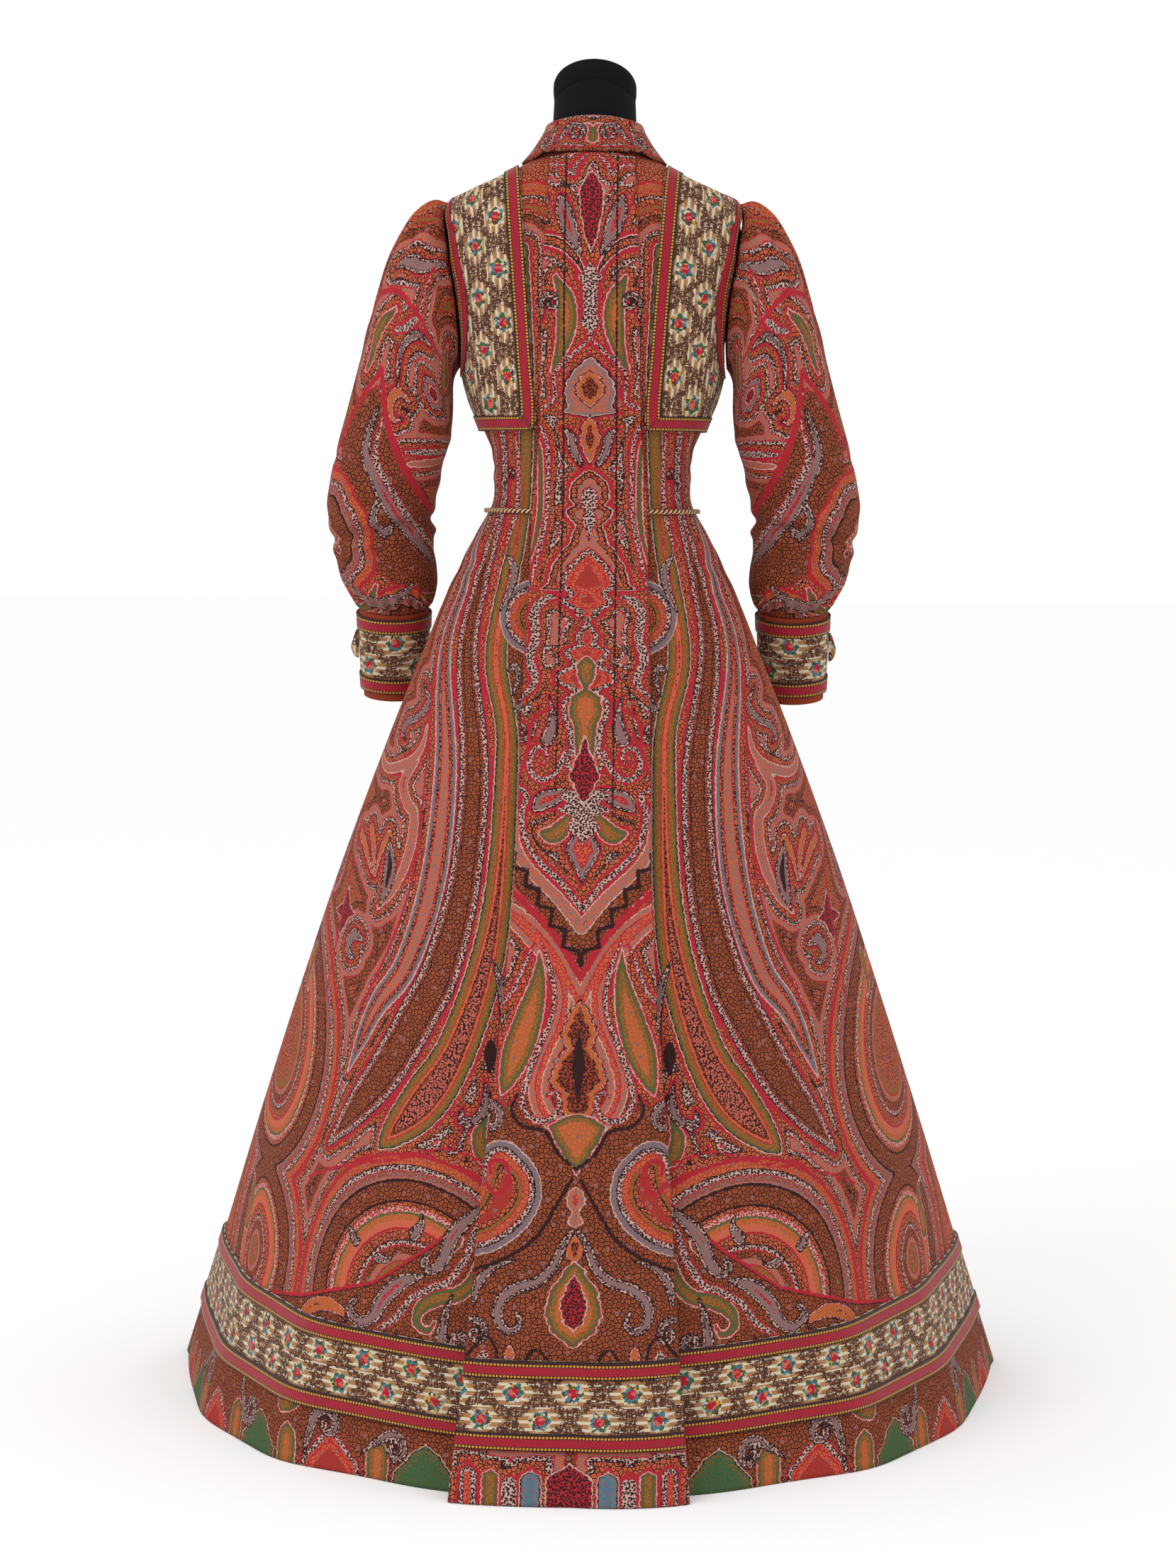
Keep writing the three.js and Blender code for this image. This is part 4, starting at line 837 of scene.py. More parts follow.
panelStrokes = [  # figure, places across and up with half widths
    ("speck", [(0.09, -0.806, 0.002), (0.11, -0.825, 0.004), (0.122, -0.859, 0.0045),
        (0.14, -0.886, 0.0045), (0.161, -0.895, 0.0045), (0.186, -0.91, 0.0045), (0.203, -0.931, 0.0045),
        (0.228, -0.948, 0.003)]),
    ("scroll", [(0.09, -0.795, 0.002), (0.117, -0.814, 0.007), (0.138, -0.837, 0.009),
        (0.148, -0.863, 0.008), (0.161, -0.876, 0.006), (0.172, -0.868, 0.005), (0.164, -0.861, 0.003)]),
    ("scroll", [(0.172, -0.884, 0.003), (0.197, -0.892, 0.009), (0.221, -0.913, 0.01),
        (0.233, -0.933, 0.008), (0.251, -0.942, 0.007), (0.265, -0.931, 0.006), (0.257, -0.917, 0.004)]),
    ("leaf", [(0.108, -0.861, 0.004), (0.113, -0.883, 0.008), (0.129, -0.899, 0.009), (0.155, -0.906, 0.01),
        (0.174, -0.919, 0.008), (0.178, -0.935, 0.006), (0.164, -0.942, 0.005), (0.156, -0.932, 0.003)]),
    ("palm", [(0.273, -0.935, 0.006), (0.297, -0.928, 0.009), (0.328, -0.937, 0.009),
        (0.348, -0.955, 0.006)]),
    ("scroll", [(0.105, -0.662, 0.001), (0.102, -0.686, 0.006), (0.112, -0.706, 0.006),
        (0.13, -0.71, 0.005), (0.13, -0.697, 0.003)]),
    ("ink", [(0.104, -0.673, 0.001), (0.09, -0.69, 0.003), (0.093, -0.704, 0.003), (0.081, -0.721, 0.001)]),
    ("ink", [(0.1, -0.655, 0.001), (0.099, -0.635, 0.007), (0.099, -0.622, 0.004)]),
    ("leaf", [(0.1, -0.7, 0.002), (0.11, -0.725, 0.009), (0.104, -0.748, 0.009), (0.096, -0.744, 0.004)]),
    ("scroll", [(0.116, -0.708, 0.002), (0.127, -0.723, 0.003), (0.132, -0.741, 0.003),
        (0.143, -0.746, 0.003), (0.142, -0.736, 0.002)]),
    ("scroll", [(0.226, -0.212, 0.002), (0.208, -0.236, 0.006), (0.228, -0.254, 0.006),
        (0.254, -0.262, 0.006), (0.262, -0.274, 0.005), (0.25, -0.281, 0.003)]),
    ("lavender", [(0.205, -0.262, 0.002), (0.212, -0.29, 0.005), (0.238, -0.31, 0.007),
        (0.29, -0.318, 0.006), (0.34, -0.3, 0.004)]),
    ("lavender", [(0.215, -0.305, 0.002), (0.24, -0.33, 0.009), (0.231, -0.354, 0.008),
        (0.215, -0.371, 0.008), (0.22, -0.417, 0.008), (0.243, -0.459, 0.006), (0.269, -0.481, 0.003)]),
    ("scroll", [(0.258, -0.398, 0.002), (0.252, -0.43, 0.012), (0.256, -0.455, 0.01),
        (0.268, -0.482, 0.001)]),
    ("ink", [(0.256, -0.412, 0.001), (0.252, -0.435, 0.004), (0.258, -0.458, 0.001)]),
    ("palm", [(0.28, -0.445, 0.003), (0.272, -0.415, 0.006), (0.259, -0.396, 0.008)]),
    ("palm", [(0.283, -0.445, 0.003), (0.29, -0.412, 0.007), (0.304, -0.392, 0.008)]),
    ("palm", [(0.286, -0.445, 0.003), (0.312, -0.415, 0.007), (0.337, -0.4, 0.007)]),
    ("niche", [(0.345, -0.465, 0.002), (0.345, -0.492, 0.013), (0.352, -0.52, 0.002)]),
    ("niche", [(0.318, -0.493, 0.002), (0.345, -0.492, 0.01), (0.378, -0.494, 0.002)]),
    ("scroll", [(0.296, -0.52, 0.004), (0.312, -0.516, 0.008), (0.326, -0.526, 0.008),
        (0.322, -0.54, 0.006), (0.309, -0.542, 0.003)]),
    ("lavender", [(0.4, -0.15, 0.003), (0.36, -0.2, 0.01), (0.35, -0.24, 0.01), (0.37, -0.27, 0.003)]),
    ("scroll", [(0.084, -0.222, 0.002), (0.078, -0.2, 0.004), (0.082, -0.188, 0.005),
        (0.089, -0.192, 0.004)]),
    ("scroll", [(0.081, -0.24, 0.003), (0.074, -0.234, 0.006), (0.069, -0.222, 0.005)]),
    ("scroll", [(0.1, -0.525, 0.001), (0.087, -0.56, 0.006), (0.082, -0.6, 0.007), (0.09, -0.64, 0.002)]),
    ("speck", [(0.095, 0.15, 0.001), (0.088, 0.06, 0.003), (0.09, 0, 0.004), (0.1, -0.04, 0.002)]),
    ("scroll", [(0.1, -0.05, 0.002), (0.088, -0.07, 0.006), (0.094, -0.1, 0.005), (0.104, -0.12, 0.002)]),
]
waves = [  # crimson lines on the open ground
    [(0.205, -0.19, 0.0016), (0.2, -0.305, 0.0016), (0.21, -0.441, 0.0016), (0.245, -0.53, 0.0016),
     (0.29, -0.6, 0.0016)],
    [(0.105, -0.752, 0.0018), (0.15, -0.742, 0.0018), (0.21, -0.758, 0.0018), (0.29, -0.775, 0.0018),
     (0.37, -0.8, 0.0018)],
    [(0.33, -0.19, 0.0018), (0.345, -0.33, 0.0018), (0.35, -0.47, 0.0018), (0.372, -0.6, 0.0018)],
]


def below(line):
    line = np.array(line)

    def field(s, t):
        edge = np.interp(s, line[:, 0], line[:, 1])
        slope = np.interp(s, line[:-1, 0], np.diff(line[:, 1]) / np.diff(line[:, 0]))
        return (t - edge) / np.hypot(1, slope)

    return field


def flowersAlong(path, pitch, size):
    centres = np.array(path)[:, :2]
    steps = np.concatenate(([0], np.cumsum(np.linalg.norm(np.diff(centres, axis=0), axis=1))))
    for place in np.arange(pitch / 2, steps[-1] - 0.03, pitch):
        s, t = np.interp(place, steps, centres[:, 0]), np.interp(place, steps, centres[:, 1])
        yield ringed((s, t), size * 0.7, 5, size * 0.45)


def figurePaths():
    pattern = [(figure, placed(volute(), *rest)) for figure, *rest in volutes]
    pattern += [(figure, placed(boteh(), *rest)) for figure, *rest in botehs]
    return pattern + [(figure, stroke(points, 6)) for figure, points in panelStrokes]


beads = {"middle": (0.058, -0.128), "radius": 0.046}


def panelPattern():
    pattern = [(figure, stroke(points)) for figure, points in longLeaves.items()]
    pattern += [("line", stroke(points)) for points in waves]
    pattern.append(("comma", ringed(beads["middle"], beads["radius"])))
    for middle, radius in scallops:
        pattern.append(("scallop", ringed(middle, radius)))
    pattern.append(("sweep", below(sweepLine)))
    for field in flowersAlong(stroke(longLeaves["stripeB"][2:]), 0.047, 0.0062):
        pattern.append(("lavender", field))
    return pattern + figurePaths() + hemNiches()


# Niches along the hem, below the band.
hemPlaces = {
    "top": -1.066, "foot": -1.2, "count": 8, "first": 0.16, "pitch": 0.125, "half": 0.04, "leafHalf": 0.014,
}


def hemNiches():
    pattern = []
    for k in range(hemPlaces["count"]):
        middle = hemPlaces["first"] + k * hemPlaces["pitch"]
        pattern.append((("grove", "medal")[k % 2], niche(middle, hemPlaces["half"])))
        pattern.append(("leaf", niche(middle + hemPlaces["pitch"] / 2, hemPlaces["leafHalf"])))
    return pattern


def niche(middle, half):
    top = hemPlaces["top"]
    table = [(hemPlaces["foot"], half), (top - half * 0.9, half), (top - half * 0.35, half * 0.55)]
    table.append((top + half * 0.1, 0))
    return partial(upright, table=table, lobe=0.002, middle=middle)


# The pleat's column of figures, each as (figure, half widths up the cloth, lobe size, lobe spacing).
pleatFigures = [
    ("dusk", [(-1.02, 0.15), (-0.71, 0.15), (-0.675, 0.07), (-0.655, 0.05), (-0.65, 0)], 0, 0.01),
    ("niche", [(0.384, 0), (0.372, 0.008), (0.358, 0.0135), (0.337, 0.0125), (0.318, 0.009), (0.285, 0)],
        0.001, 0.008),
    ("speck", [(0.283, 0), (0.27, 0.007), (0.264, 0.015), (0.257, 0.009), (0.24, 0.008), (0.222, 0.008),
        (0.214, 0.011), (0.204, 0.004), (0.194, 0)], 0.001, 0.008),
    ("tent", [(0.18, 0), (0.172, 0.009), (0.16, 0.021), (0.148, 0.028), (0.136, 0.03), (0.122, 0.026),
        (0.114, 0.031), (0.106, 0)], 0.0016, 0.011),
    ("palm", [(0.164, 0), (0.152, 0.012), (0.14, 0.016), (0.13, 0.011), (0.122, 0.004), (0.118, 0)], 0.003,
        0.01),
    ("palm", [(0.112, 0), (0.098, 0.009), (0.082, 0.012), (0.066, 0.007), (0.05, 0)], 0.002, 0.009),
    ("frame", [(0.05, 0), (0.042, 0.014), (0.03, 0.024), (0.016, 0.025), (0.008, 0.021), (0.002, 0.03),
        (-0.008, 0.026), (-0.016, 0.018), (-0.034, 0.023), (-0.05, 0.035), (-0.066, 0.044), (-0.084, 0.048),
        (-0.094, 0.06), (-0.098, 0)], 0.0012, 0.01),
    ("speck", [(0.03, 0), (0.022, 0.008), (0.012, 0.01), (0, 0.006), (-0.01, 0.008), (-0.026, 0.003),
        (-0.038, 0)], 0.001, 0.007),
    ("medal", [(-0.04, 0), (-0.052, 0.012), (-0.064, 0.023), (-0.08, 0.031), (-0.09, 0.032),
        (-0.098, 0.023), (-0.11, 0.031), (-0.12, 0.016), (-0.138, 0)], 0.0024, 0.01),
    ("medal", [(-0.126, 0), (-0.139, 0.0084), (-0.15, 0.015), (-0.158, 0.0125), (-0.168, 0.0285),
        (-0.183, 0.019), (-0.194, 0.036), (-0.206, 0.035), (-0.216, 0.018), (-0.228, 0.0285),
        (-0.244, 0.0276), (-0.262, 0.021), (-0.284, 0.019), (-0.3, 0.024), (-0.314, 0.016), (-0.322, 0)],
        0.0012, 0.009),
    ("leaf", [(-0.17, 0), (-0.184, 0.011), (-0.198, 0.01), (-0.212, 0.004), (-0.222, 0.017), (-0.24, 0.019),
        (-0.258, 0.013), (-0.288, 0.011), (-0.304, 0)], 0.001, 0.01),
    ("palm", [(-0.224, 0), (-0.232, 0.01), (-0.242, 0.011), (-0.254, 0.004), (-0.258, 0)], 0.001, 0.006),
    ("niche", [(-0.262, 0), (-0.282, 0.005), (-0.3, 0.012), (-0.314, 0.017), (-0.326, 0.011),
        (-0.336, 0.007), (-0.348, 0)], 0.001, 0.007),
    ("speck", [(-0.324, 0), (-0.336, 0.03), (-0.345, 0.018), (-0.353, 0.03), (-0.362, 0.012),
        (-0.374, 0.019), (-0.386, 0.005), (-0.396, 0)], 0.001, 0.007),
    ("scroll", [(-0.37, 0), (-0.384, 0.013), (-0.397, 0.019), (-0.41, 0.014), (-0.425, 0.006), (-0.44, 0)],
        0.002, 0.009),
    ("palm", [(-0.562, 0), (-0.585, 0.012), (-0.604, 0.019), (-0.619, 0.014), (-0.636, 0.025),
        (-0.658, 0.03), (-0.672, 0.018), (-0.69, 0.017), (-0.702, 0)], 0.0028, 0.01),
    ("ink", [(-0.6, 0), (-0.625, 0.004), (-0.64, 0.006), (-0.66, 0.003), (-0.68, 0)], 0.002, 0.009),
    ("leaf", [(-0.69, 0), (-0.697, 0.02), (-0.706, 0.031), (-0.718, 0.026), (-0.736, 0.016),
        (-0.752, 0.004), (-0.76, 0)], 0.001, 0.01),
    ("lavender", [(-0.77, 0), (-0.776, 0.008), (-0.787, 0.01), (-0.798, 0.004), (-0.81, 0.008),
        (-0.816, 0)], 0.001, 0.006),
    ("palm", [(-0.82, 0), (-0.832, 0.012), (-0.845, 0.009), (-0.856, 0)], 0.001, 0.006),
    ("leaf", [(-0.848, 0), (-0.862, 0.012), (-0.885, 0.026), (-0.906, 0.03), (-0.924, 0.024),
        (-0.938, 0.008), (-0.944, 0)], 0.0014, 0.008),
    ("niche", [(-0.862, 0), (-0.878, 0.008), (-0.896, 0.014), (-0.914, 0.011), (-0.926, 0)], 0.0014, 0.008),
]
# Figures beside the centre line, each as (figure, places across and up with half widths).
pleatStrokes = [
    ("scroll", [(0.036, 0.354, 0.003), (0.032, 0.338, 0.01), (0.024, 0.316, 0.01), (0.012, 0.29, 0.003)]),
    ("frame", [(0.004, 0.262, 0.004), (0.016, 0.283, 0.007), (0.034, 0.3, 0.009), (0.056, 0.306, 0.009),
        (0.08, 0.3, 0.008)]),
    ("speck", [(0.006, 0.408, 0.002), (0.018, 0.392, 0.003), (0.022, 0.378, 0.003), (0.034, 0.392, 0.003),
        (0.05, 0.396, 0.003)]),
    ("leaf", [(0.04, 0.264, 0.004), (0.029, 0.242, 0.011), (0.027, 0.215, 0.013), (0.032, 0.188, 0.009),
        (0.044, 0.16, 0.003)]),
    ("speck", [(0, 0.198, 0.0022), (0.014, 0.184, 0.0028), (0.031, 0.17, 0.003), (0.042, 0.154, 0.003),
        (0.041, 0.128, 0.003), (0.06, 0.117, 0.003)]),
    ("scroll", [(0.032, 0.096, 0.001), (0.022, 0.086, 0.006), (0.018, 0.068, 0.006), (0.01, 0.054, 0.004)]),
    ("speck", [(0.06, 0.1, 0.003), (0.051, 0.08, 0.003), (0.049, 0.03, 0.003), (0.051, -0.01, 0.003),
        (0.059, -0.05, 0.003), (0.068, -0.09, 0.002)]),
    ("leaf", [(0.07, 0.09, 0.002), (0.06, 0.07, 0.004), (0.058, 0.02, 0.0045), (0.06, -0.02, 0.0045),
        (0.07, -0.06, 0.003)]),
    ("speck", [(0.036, -0.102, 0.002), (0.05, -0.106, 0.006), (0.062, -0.122, 0.0065),
        (0.059, -0.15, 0.006), (0.066, -0.178, 0.006), (0.058, -0.204, 0.005), (0.074, -0.224, 0.003)]),
    ("line", [(0.04, -0.235, 0.0018), (0.06, -0.25, 0.0018), (0.066, -0.29, 0.0018),
        (0.075, -0.315, 0.0018)]),
    ("speck", [(0.021, -0.286, 0.0035), (0.031, -0.309, 0.0038), (0.046, -0.3185, 0.0038),
        (0.059, -0.312, 0.0038), (0.063, -0.296, 0.0037), (0.055, -0.282, 0.0034), (0.044, -0.284, 0.0028),
        (0.042, -0.295, 0.0022), (0.049, -0.301, 0.0016)]),
    ("scroll", [(0.041, -0.22, 0.0008), (0.037, -0.24, 0.004), (0.037, -0.258, 0.0075),
        (0.042, -0.272, 0.0085)]),
    ("scroll", [(0.018, -0.331, 0.004), (0.033, -0.338, 0.01), (0.045, -0.343, 0.011),
        (0.053, -0.351, 0.006)]),
    ("leaf", [(0.012, -0.354, 0.003), (0.022, -0.372, 0.01), (0.033, -0.382, 0.011),
        (0.045, -0.38, 0.005)]),
    ("lavender", [(0.09, -0.34, 0.006), (0.08, -0.362, 0.007), (0.078, -0.39, 0.007),
        (0.068, -0.412, 0.007), (0.048, -0.433, 0.007), (0.026, -0.454, 0.007), (0, -0.486, 0.008)]),
    ("speck", [(0.082, -0.325, 0.003), (0.065, -0.337, 0.0038), (0.07, -0.355, 0.0038),
        (0.068, -0.378, 0.0038), (0.059, -0.4, 0.0039), (0.042, -0.419, 0.004), (0.0215, -0.438, 0.004),
        (0, -0.466, 0.004)]),
    ("dusk", [(0.092, -0.398, 0.014), (0.066, -0.434, 0.014), (0.036, -0.462, 0.014), (0, -0.508, 0.014)]),
    ("line", [(0.092, -0.438, 0.0034), (0.056, -0.468, 0.0034), (0.026, -0.5, 0.0034),
        (0, -0.542, 0.0034)]),
    ("lavender", [(0.096, -0.462, 0.01), (0.06, -0.488, 0.014), (0.032, -0.518, 0.014),
        (0.014, -0.552, 0.014), (0.006, -0.592, 0.024), (0.008, -0.64, 0.04), (0.01, -0.668, 0.044),
        (0.012, -0.69, 0.026)]),
    ("speck", [(0.044, -0.502, 0.001), (0.034, -0.53, 0.003), (0.028, -0.558, 0.003), (0.03, -0.585, 0.003),
        (0.041, -0.614, 0.0036), (0.056, -0.655, 0.0038), (0.06, -0.682, 0.0038), (0.048, -0.699, 0.0038),
        (0.029, -0.698, 0.0035), (0.019, -0.682, 0.003), (0.025, -0.669, 0.0026), (0.034, -0.673, 0.0018)]),

    ("leaf", [(0.0455, -0.51, 0.0008), (0.046, -0.545, 0.009), (0.055, -0.585, 0.016),
        (0.068, -0.625, 0.018), (0.078, -0.655, 0.011), (0.084, -0.672, 0.003)]),
    ("speck", [(0.052, -0.506, 0.001), (0.062, -0.53, 0.003), (0.076, -0.56, 0.003),
        (0.095, -0.58, 0.003)]),
    ("comma", [(0.135, -0.828, 0.026), (0.098, -0.808, 0.036), (0.076, -0.778, 0.04),
        (0.082, -0.752, 0.029)]),
    ("line", [(0.1, -0.77, 0.002), (0.086, -0.782, 0.0024), (0.072, -0.765, 0.0024), (0.08, -0.746, 0.0022),
        (0.094, -0.748, 0.002), (0.094, -0.76, 0.0014)]),
    ("ink", [(0, -0.752, 0.0014), (0.02, -0.735, 0.0016), (0.034, -0.712, 0.0016), (0.06, -0.706, 0.0016),
        (0.072, -0.69, 0.0014), (0.066, -0.672, 0.001)]),
    ("ink", [(0.004, -0.762, 0.0014), (0.02, -0.79, 0.0016), (0.042, -0.826, 0.0016),
        (0.075, -0.85, 0.0016), (0.12, -0.868, 0.0014)]),
    ("scroll", [(0.003, -0.818, 0.003), (0.014, -0.836, 0.005), (0.022, -0.856, 0.006),
        (0.038, -0.872, 0.0065), (0.06, -0.88, 0.007), (0.077, -0.894, 0.007), (0.08, -0.914, 0.0065),
        (0.068, -0.926, 0.005), (0.056, -0.918, 0.004), (0.06, -0.906, 0.003)]),
    ("scroll", [(0.06, -0.85, 0.001), (0.085, -0.858, 0.005), (0.104, -0.878, 0.006),
        (0.108, -0.9, 0.003)]),
    ("speck", [(0.038, -0.99, 0.003), (0.038, -0.964, 0.003)]),
    ("speck", [(0.092, -0.99, 0.004), (0.092, -0.95, 0.0035), (0.112, -0.972, 0.003)]),
    ("palm", [(0.066, -0.968, 0.001), (0.066, -0.952, 0.007), (0.066, -0.94, 0.002)]),
    ("ink", [(0.026, -0.99, 0.0014), (0.027, -0.957, 0.0014), (0.038, -0.944, 0.0014),
        (0.049, -0.957, 0.0014), (0.05, -0.99, 0.0014)]),
    ("ink", [(0.08, -0.99, 0.0014), (0.08, -0.948, 0.0014), (0.093, -0.932, 0.0014),
        (0.106, -0.946, 0.0014), (0.122, -0.962, 0.0014)]),
]
pleatVolutes = [  # across, up, size, turn, flip
    (0.046, 0.236, 0.026, 20, 1), (0.074, -0.262, 0.03, 200, 1), (0.098, -0.7, 0.04, 60, 1),
    (0.104, -0.93, 0.03, 100, 1), (0.06, 0.35, 0.03, 0, 1), (0.07, 0.225, 0.03, 180, 1),
]
pleatSeam = [(0.029, 0.41, 0.0006), (0.03, 0.1, 0.0006), (0.031, -0.1, 0.0006), (0.032, -0.36, 0.0004)]
zigzag = {"from": (0.096, -0.392), "to": (0.0, -0.528), "turns": 13, "deep": 0.006, "half": 0.0018}
hemColumns = [  # figure, across, half width, top
    ("niche", 0, 0.024, -1.062), ("pool", 0.04, 0.011, -1.07), ("speck", 0.062, 0.008, -1.076),
    ("leaf", 0.082, 0.009, -1.07), ("medal", 0.106, 0.011, -1.066),
]


def pleatPattern():
    pattern = []
    for figure, table, lobe, pitch in pleatFigures:
        pattern.append((figure, partial(upright, table=table, lobe=lobe, pitch=pitch)))
    pattern += [(figure, stroke(points, 5)) for figure, points in pleatStrokes]
    (s0, t0), (s1, t1) = zigzag["from"], zigzag["to"]
    path = []
    for k in range(zigzag["turns"] + 1):
        share = k / zigzag["turns"]
        side = zigzag["deep"] * (1 if k % 2 else -1) * (k < zigzag["turns"])
        s, t = s0 + (s1 - s0) * share, t0 + (t1 - t0) * share ** 1.15
        path.append((s + side * 0.8, t - side * 0.6, zigzag["half"]))
    pattern.append(("ink", np.array(path)))
    pattern.append(("ink", stroke(pleatSeam)))
    pattern += [("scroll", placed(volute(), *rest)) for rest in pleatVolutes]
    for figure, middle, half, top in hemColumns:
        table = [(-1.2, half), (top - half * 0.8, half), (top, 0.0)]
        pattern.append((figure, partial(upright, table=table, lobe=0.001, pitch=0.01, middle=middle)))
    return pattern


sleeveStrokes = [  # figure, places across and up with half widths
    ("dusk", [(0.034, -0.16, 0.004), (0.032, -0.205, 0.034), (0.01, -0.26, 0.052), (-0.03, -0.31, 0.056),
        (-0.07, -0.35, 0.04)]),
    ("line", [(0.034, -0.14, 0.003), (0.06, -0.185, 0.0035), (0.095, -0.245, 0.003), (0.14, -0.27, 0.002)]),
    ("line", [(0.034, -0.14, 0.003), (0.005, -0.19, 0.0035), (-0.03, -0.235, 0.0035),
        (-0.07, -0.275, 0.003), (-0.12, -0.3, 0.002)]),
    ("scroll", [(0.026, -0.175, 0.003), (0.028, -0.215, 0.007), (0.006, -0.245, 0.009),
        (-0.022, -0.28, 0.01), (-0.05, -0.315, 0.009), (-0.075, -0.345, 0.005)]),
    ("speck", [(0.016, -0.18, 0.002), (0.014, -0.22, 0.004), (-0.008, -0.247, 0.0042),
        (-0.036, -0.282, 0.0046), (-0.066, -0.315, 0.004), (-0.095, -0.34, 0.003)]),
    ("scroll", [(-0.002, -0.262, 0.003), (0.004, -0.288, 0.006), (-0.008, -0.304, 0.006),
        (-0.022, -0.294, 0.003)]),
    ("scroll", [(0.06, -0.355, 0.002), (0.045, -0.382, 0.007), (0.02, -0.395, 0.009),
        (-0.01, -0.386, 0.008), (-0.034, -0.368, 0.003)]),
    ("leaf", [(0.01, -0.368, 0.003), (0.034, -0.404, 0.009), (0.066, -0.405, 0.004)]),
    ("leaf", [(-0.05, -0.385, 0.003), (-0.075, -0.395, 0.009), (-0.1, -0.38, 0.004)]),
    ("speck", [(-0.4, -0.437, 0.003), (-0.06, -0.433, 0.0034), (0.06, -0.437, 0.0034),
        (0.3, -0.434, 0.003)]),
    ("ink", [(-0.4, -0.428, 0.0013), (-0.06, -0.424, 0.0013), (0.06, -0.428, 0.0013),
        (0.3, -0.425, 0.0013)]),
    ("palm", [(-0.012, -0.15, 0.003), (0.004, -0.148, 0.006), (0.012, -0.162, 0.006),
        (0.004, -0.178, 0.004), (-0.007, -0.172, 0.002)]),
    ("scroll", [(0.006, -0.144, 0.002), (0.013, -0.11, 0.005), (-0.004, -0.078, 0.005),
        (-0.034, -0.062, 0.003)]),
    ("scroll", [(0.075, -0.064, 0.003), (0.054, -0.045, 0.008), (0.034, -0.03, 0.008),
        (0.02, -0.006, 0.004)]),
    ("leaf", [(0.04, -0.085, 0.003), (0.056, -0.115, 0.009), (0.06, -0.15, 0.004)]),
    ("speck", [(0.024, -0.022, 0.002), (0.002, -0.052, 0.0042), (0.012, -0.082, 0.0042),
        (0.03, -0.1, 0.003)]),
    ("line", [(0.11, -0.115, 0.002), (0.06, -0.078, 0.0024), (0, -0.06, 0.0024), (-0.06, -0.052, 0.002)]),
    ("speck", [(-0.02, -0.206, 0.003), (-0.05, -0.198, 0.0055), (-0.095, -0.19, 0.005),
        (-0.15, -0.2, 0.004)]),
    ("lavender", [(-0.028, -0.219, 0.004), (-0.056, -0.212, 0.0055), (-0.1, -0.204, 0.0055),
        (-0.15, -0.215, 0.004)]),
    ("leaf", [(-0.07, -0.02, 0.003), (-0.085, -0.05, 0.01), (-0.075, -0.085, 0.004)]),
    ("comma", [(0.18, -0.08, 0.01), (0.15, -0.13, 0.03), (0.165, -0.18, 0.034), (0.21, -0.21, 0.02)]),
    ("comma", [(-0.18, -0.06, 0.01), (-0.15, -0.11, 0.03), (-0.17, -0.15, 0.03)]),
    ("tent", [(0.19, -0.3, 0.01), (0.17, -0.34, 0.034), (0.19, -0.39, 0.02)]),
    ("stripeB", [(-0.24, -0.24, 0.012), (-0.17, -0.27, 0.022), (-0.14, -0.33, 0.024),
        (-0.15, -0.41, 0.012)]),
]
sleeveDiscs = [  # figure, across, up, radius, lobes, lobe size
    ("scallop", 0.078, -0.318, 0.072, 8, 0.004), ("scallop", -0.02, -0.42, 0.05, 6, 0.003),
    ("scroll", -0.046, -0.118, 0.018, 6, 0.004), ("niche", -0.046, -0.118, 0.008, 5, 0.002),
    ("lavender", 0.076, -0.305, 0.007, 5, 0.003), ("niche", 0.058, -0.332, 0.004, 5, 0.002),
]


def sleevePattern():
    pattern = [(figure, stroke(points, 6)) for figure, points in sleeveStrokes]
    for figure, s, t, radius, lobes, size in sleeveDiscs:
        pattern.append((figure, ringed((s, t), radius, lobes, size)))
    return pattern


def collarPattern():
    curls = ((0.02, -0.03, 0.03, 40), (0.065, -0.034, 0.028, 200), (0.15, -0.034, 0.03, 90))
    drops = ((0, -0.035, 0.028, 0), (0.1, -0.03, 0.03, 60))
    pattern = [("dusk", lambda s, t: t + 0.052)]
    pattern += [("scroll", placed(volute(), *rest)) for rest in curls]
    return pattern + [("leaf", placed(boteh(), *rest)) for rest in drops]


sides = (("left", -1), ("right", 1))


# Skirt and bodice panels, cut in one from the neck to the hem.

panel = {"backColumns": 206, "frontColumns": 96, "rows": (272, 64, 16), "waist": 1.016}
hangLevels = np.linspace(0, 1.45, 600)
hangProfile = skin(np.full(600, 20.0), hangLevels)
hangSteps = np.linalg.norm(np.diff(hangProfile, axis=0), axis=-1)
hangLengths = np.concatenate(([0], np.cumsum(hangSteps)))
hangLengths -= np.interp(panel["waist"], hangLevels, hangLengths)


# How far along the cloth a height is from the waist, up being positive.
def hangOf(at):
    return np.interp(at, hangLevels, hangLengths)


def alongRows(grid):
    steps = np.linalg.norm(np.diff(grid, axis=1), axis=-1)
    return np.concatenate((np.zeros((len(grid), 1)), np.cumsum(steps, axis=1)), axis=1)


def panelAngles(part, columns):
    levels = levelsThrough(armhole, cloth["hem"], bodySections[-1][0], panel["rows"])[:, None]
    gap = seamAngle(levels)
    edge = 90 - gap - holeAngle(armhole, levels, part)
    angles = gap + (edge - gap) * np.linspace(0, 1, columns + 1)[None, :]
    if part == "front":
        angles = (180 - angles)[:, ::-1]
    return angles, np.broadcast_to(levels, angles.shape)


def bodyGrid(angles, levels, out):
    return bodyPoint(angles, levels, out + relief(angles, levels))


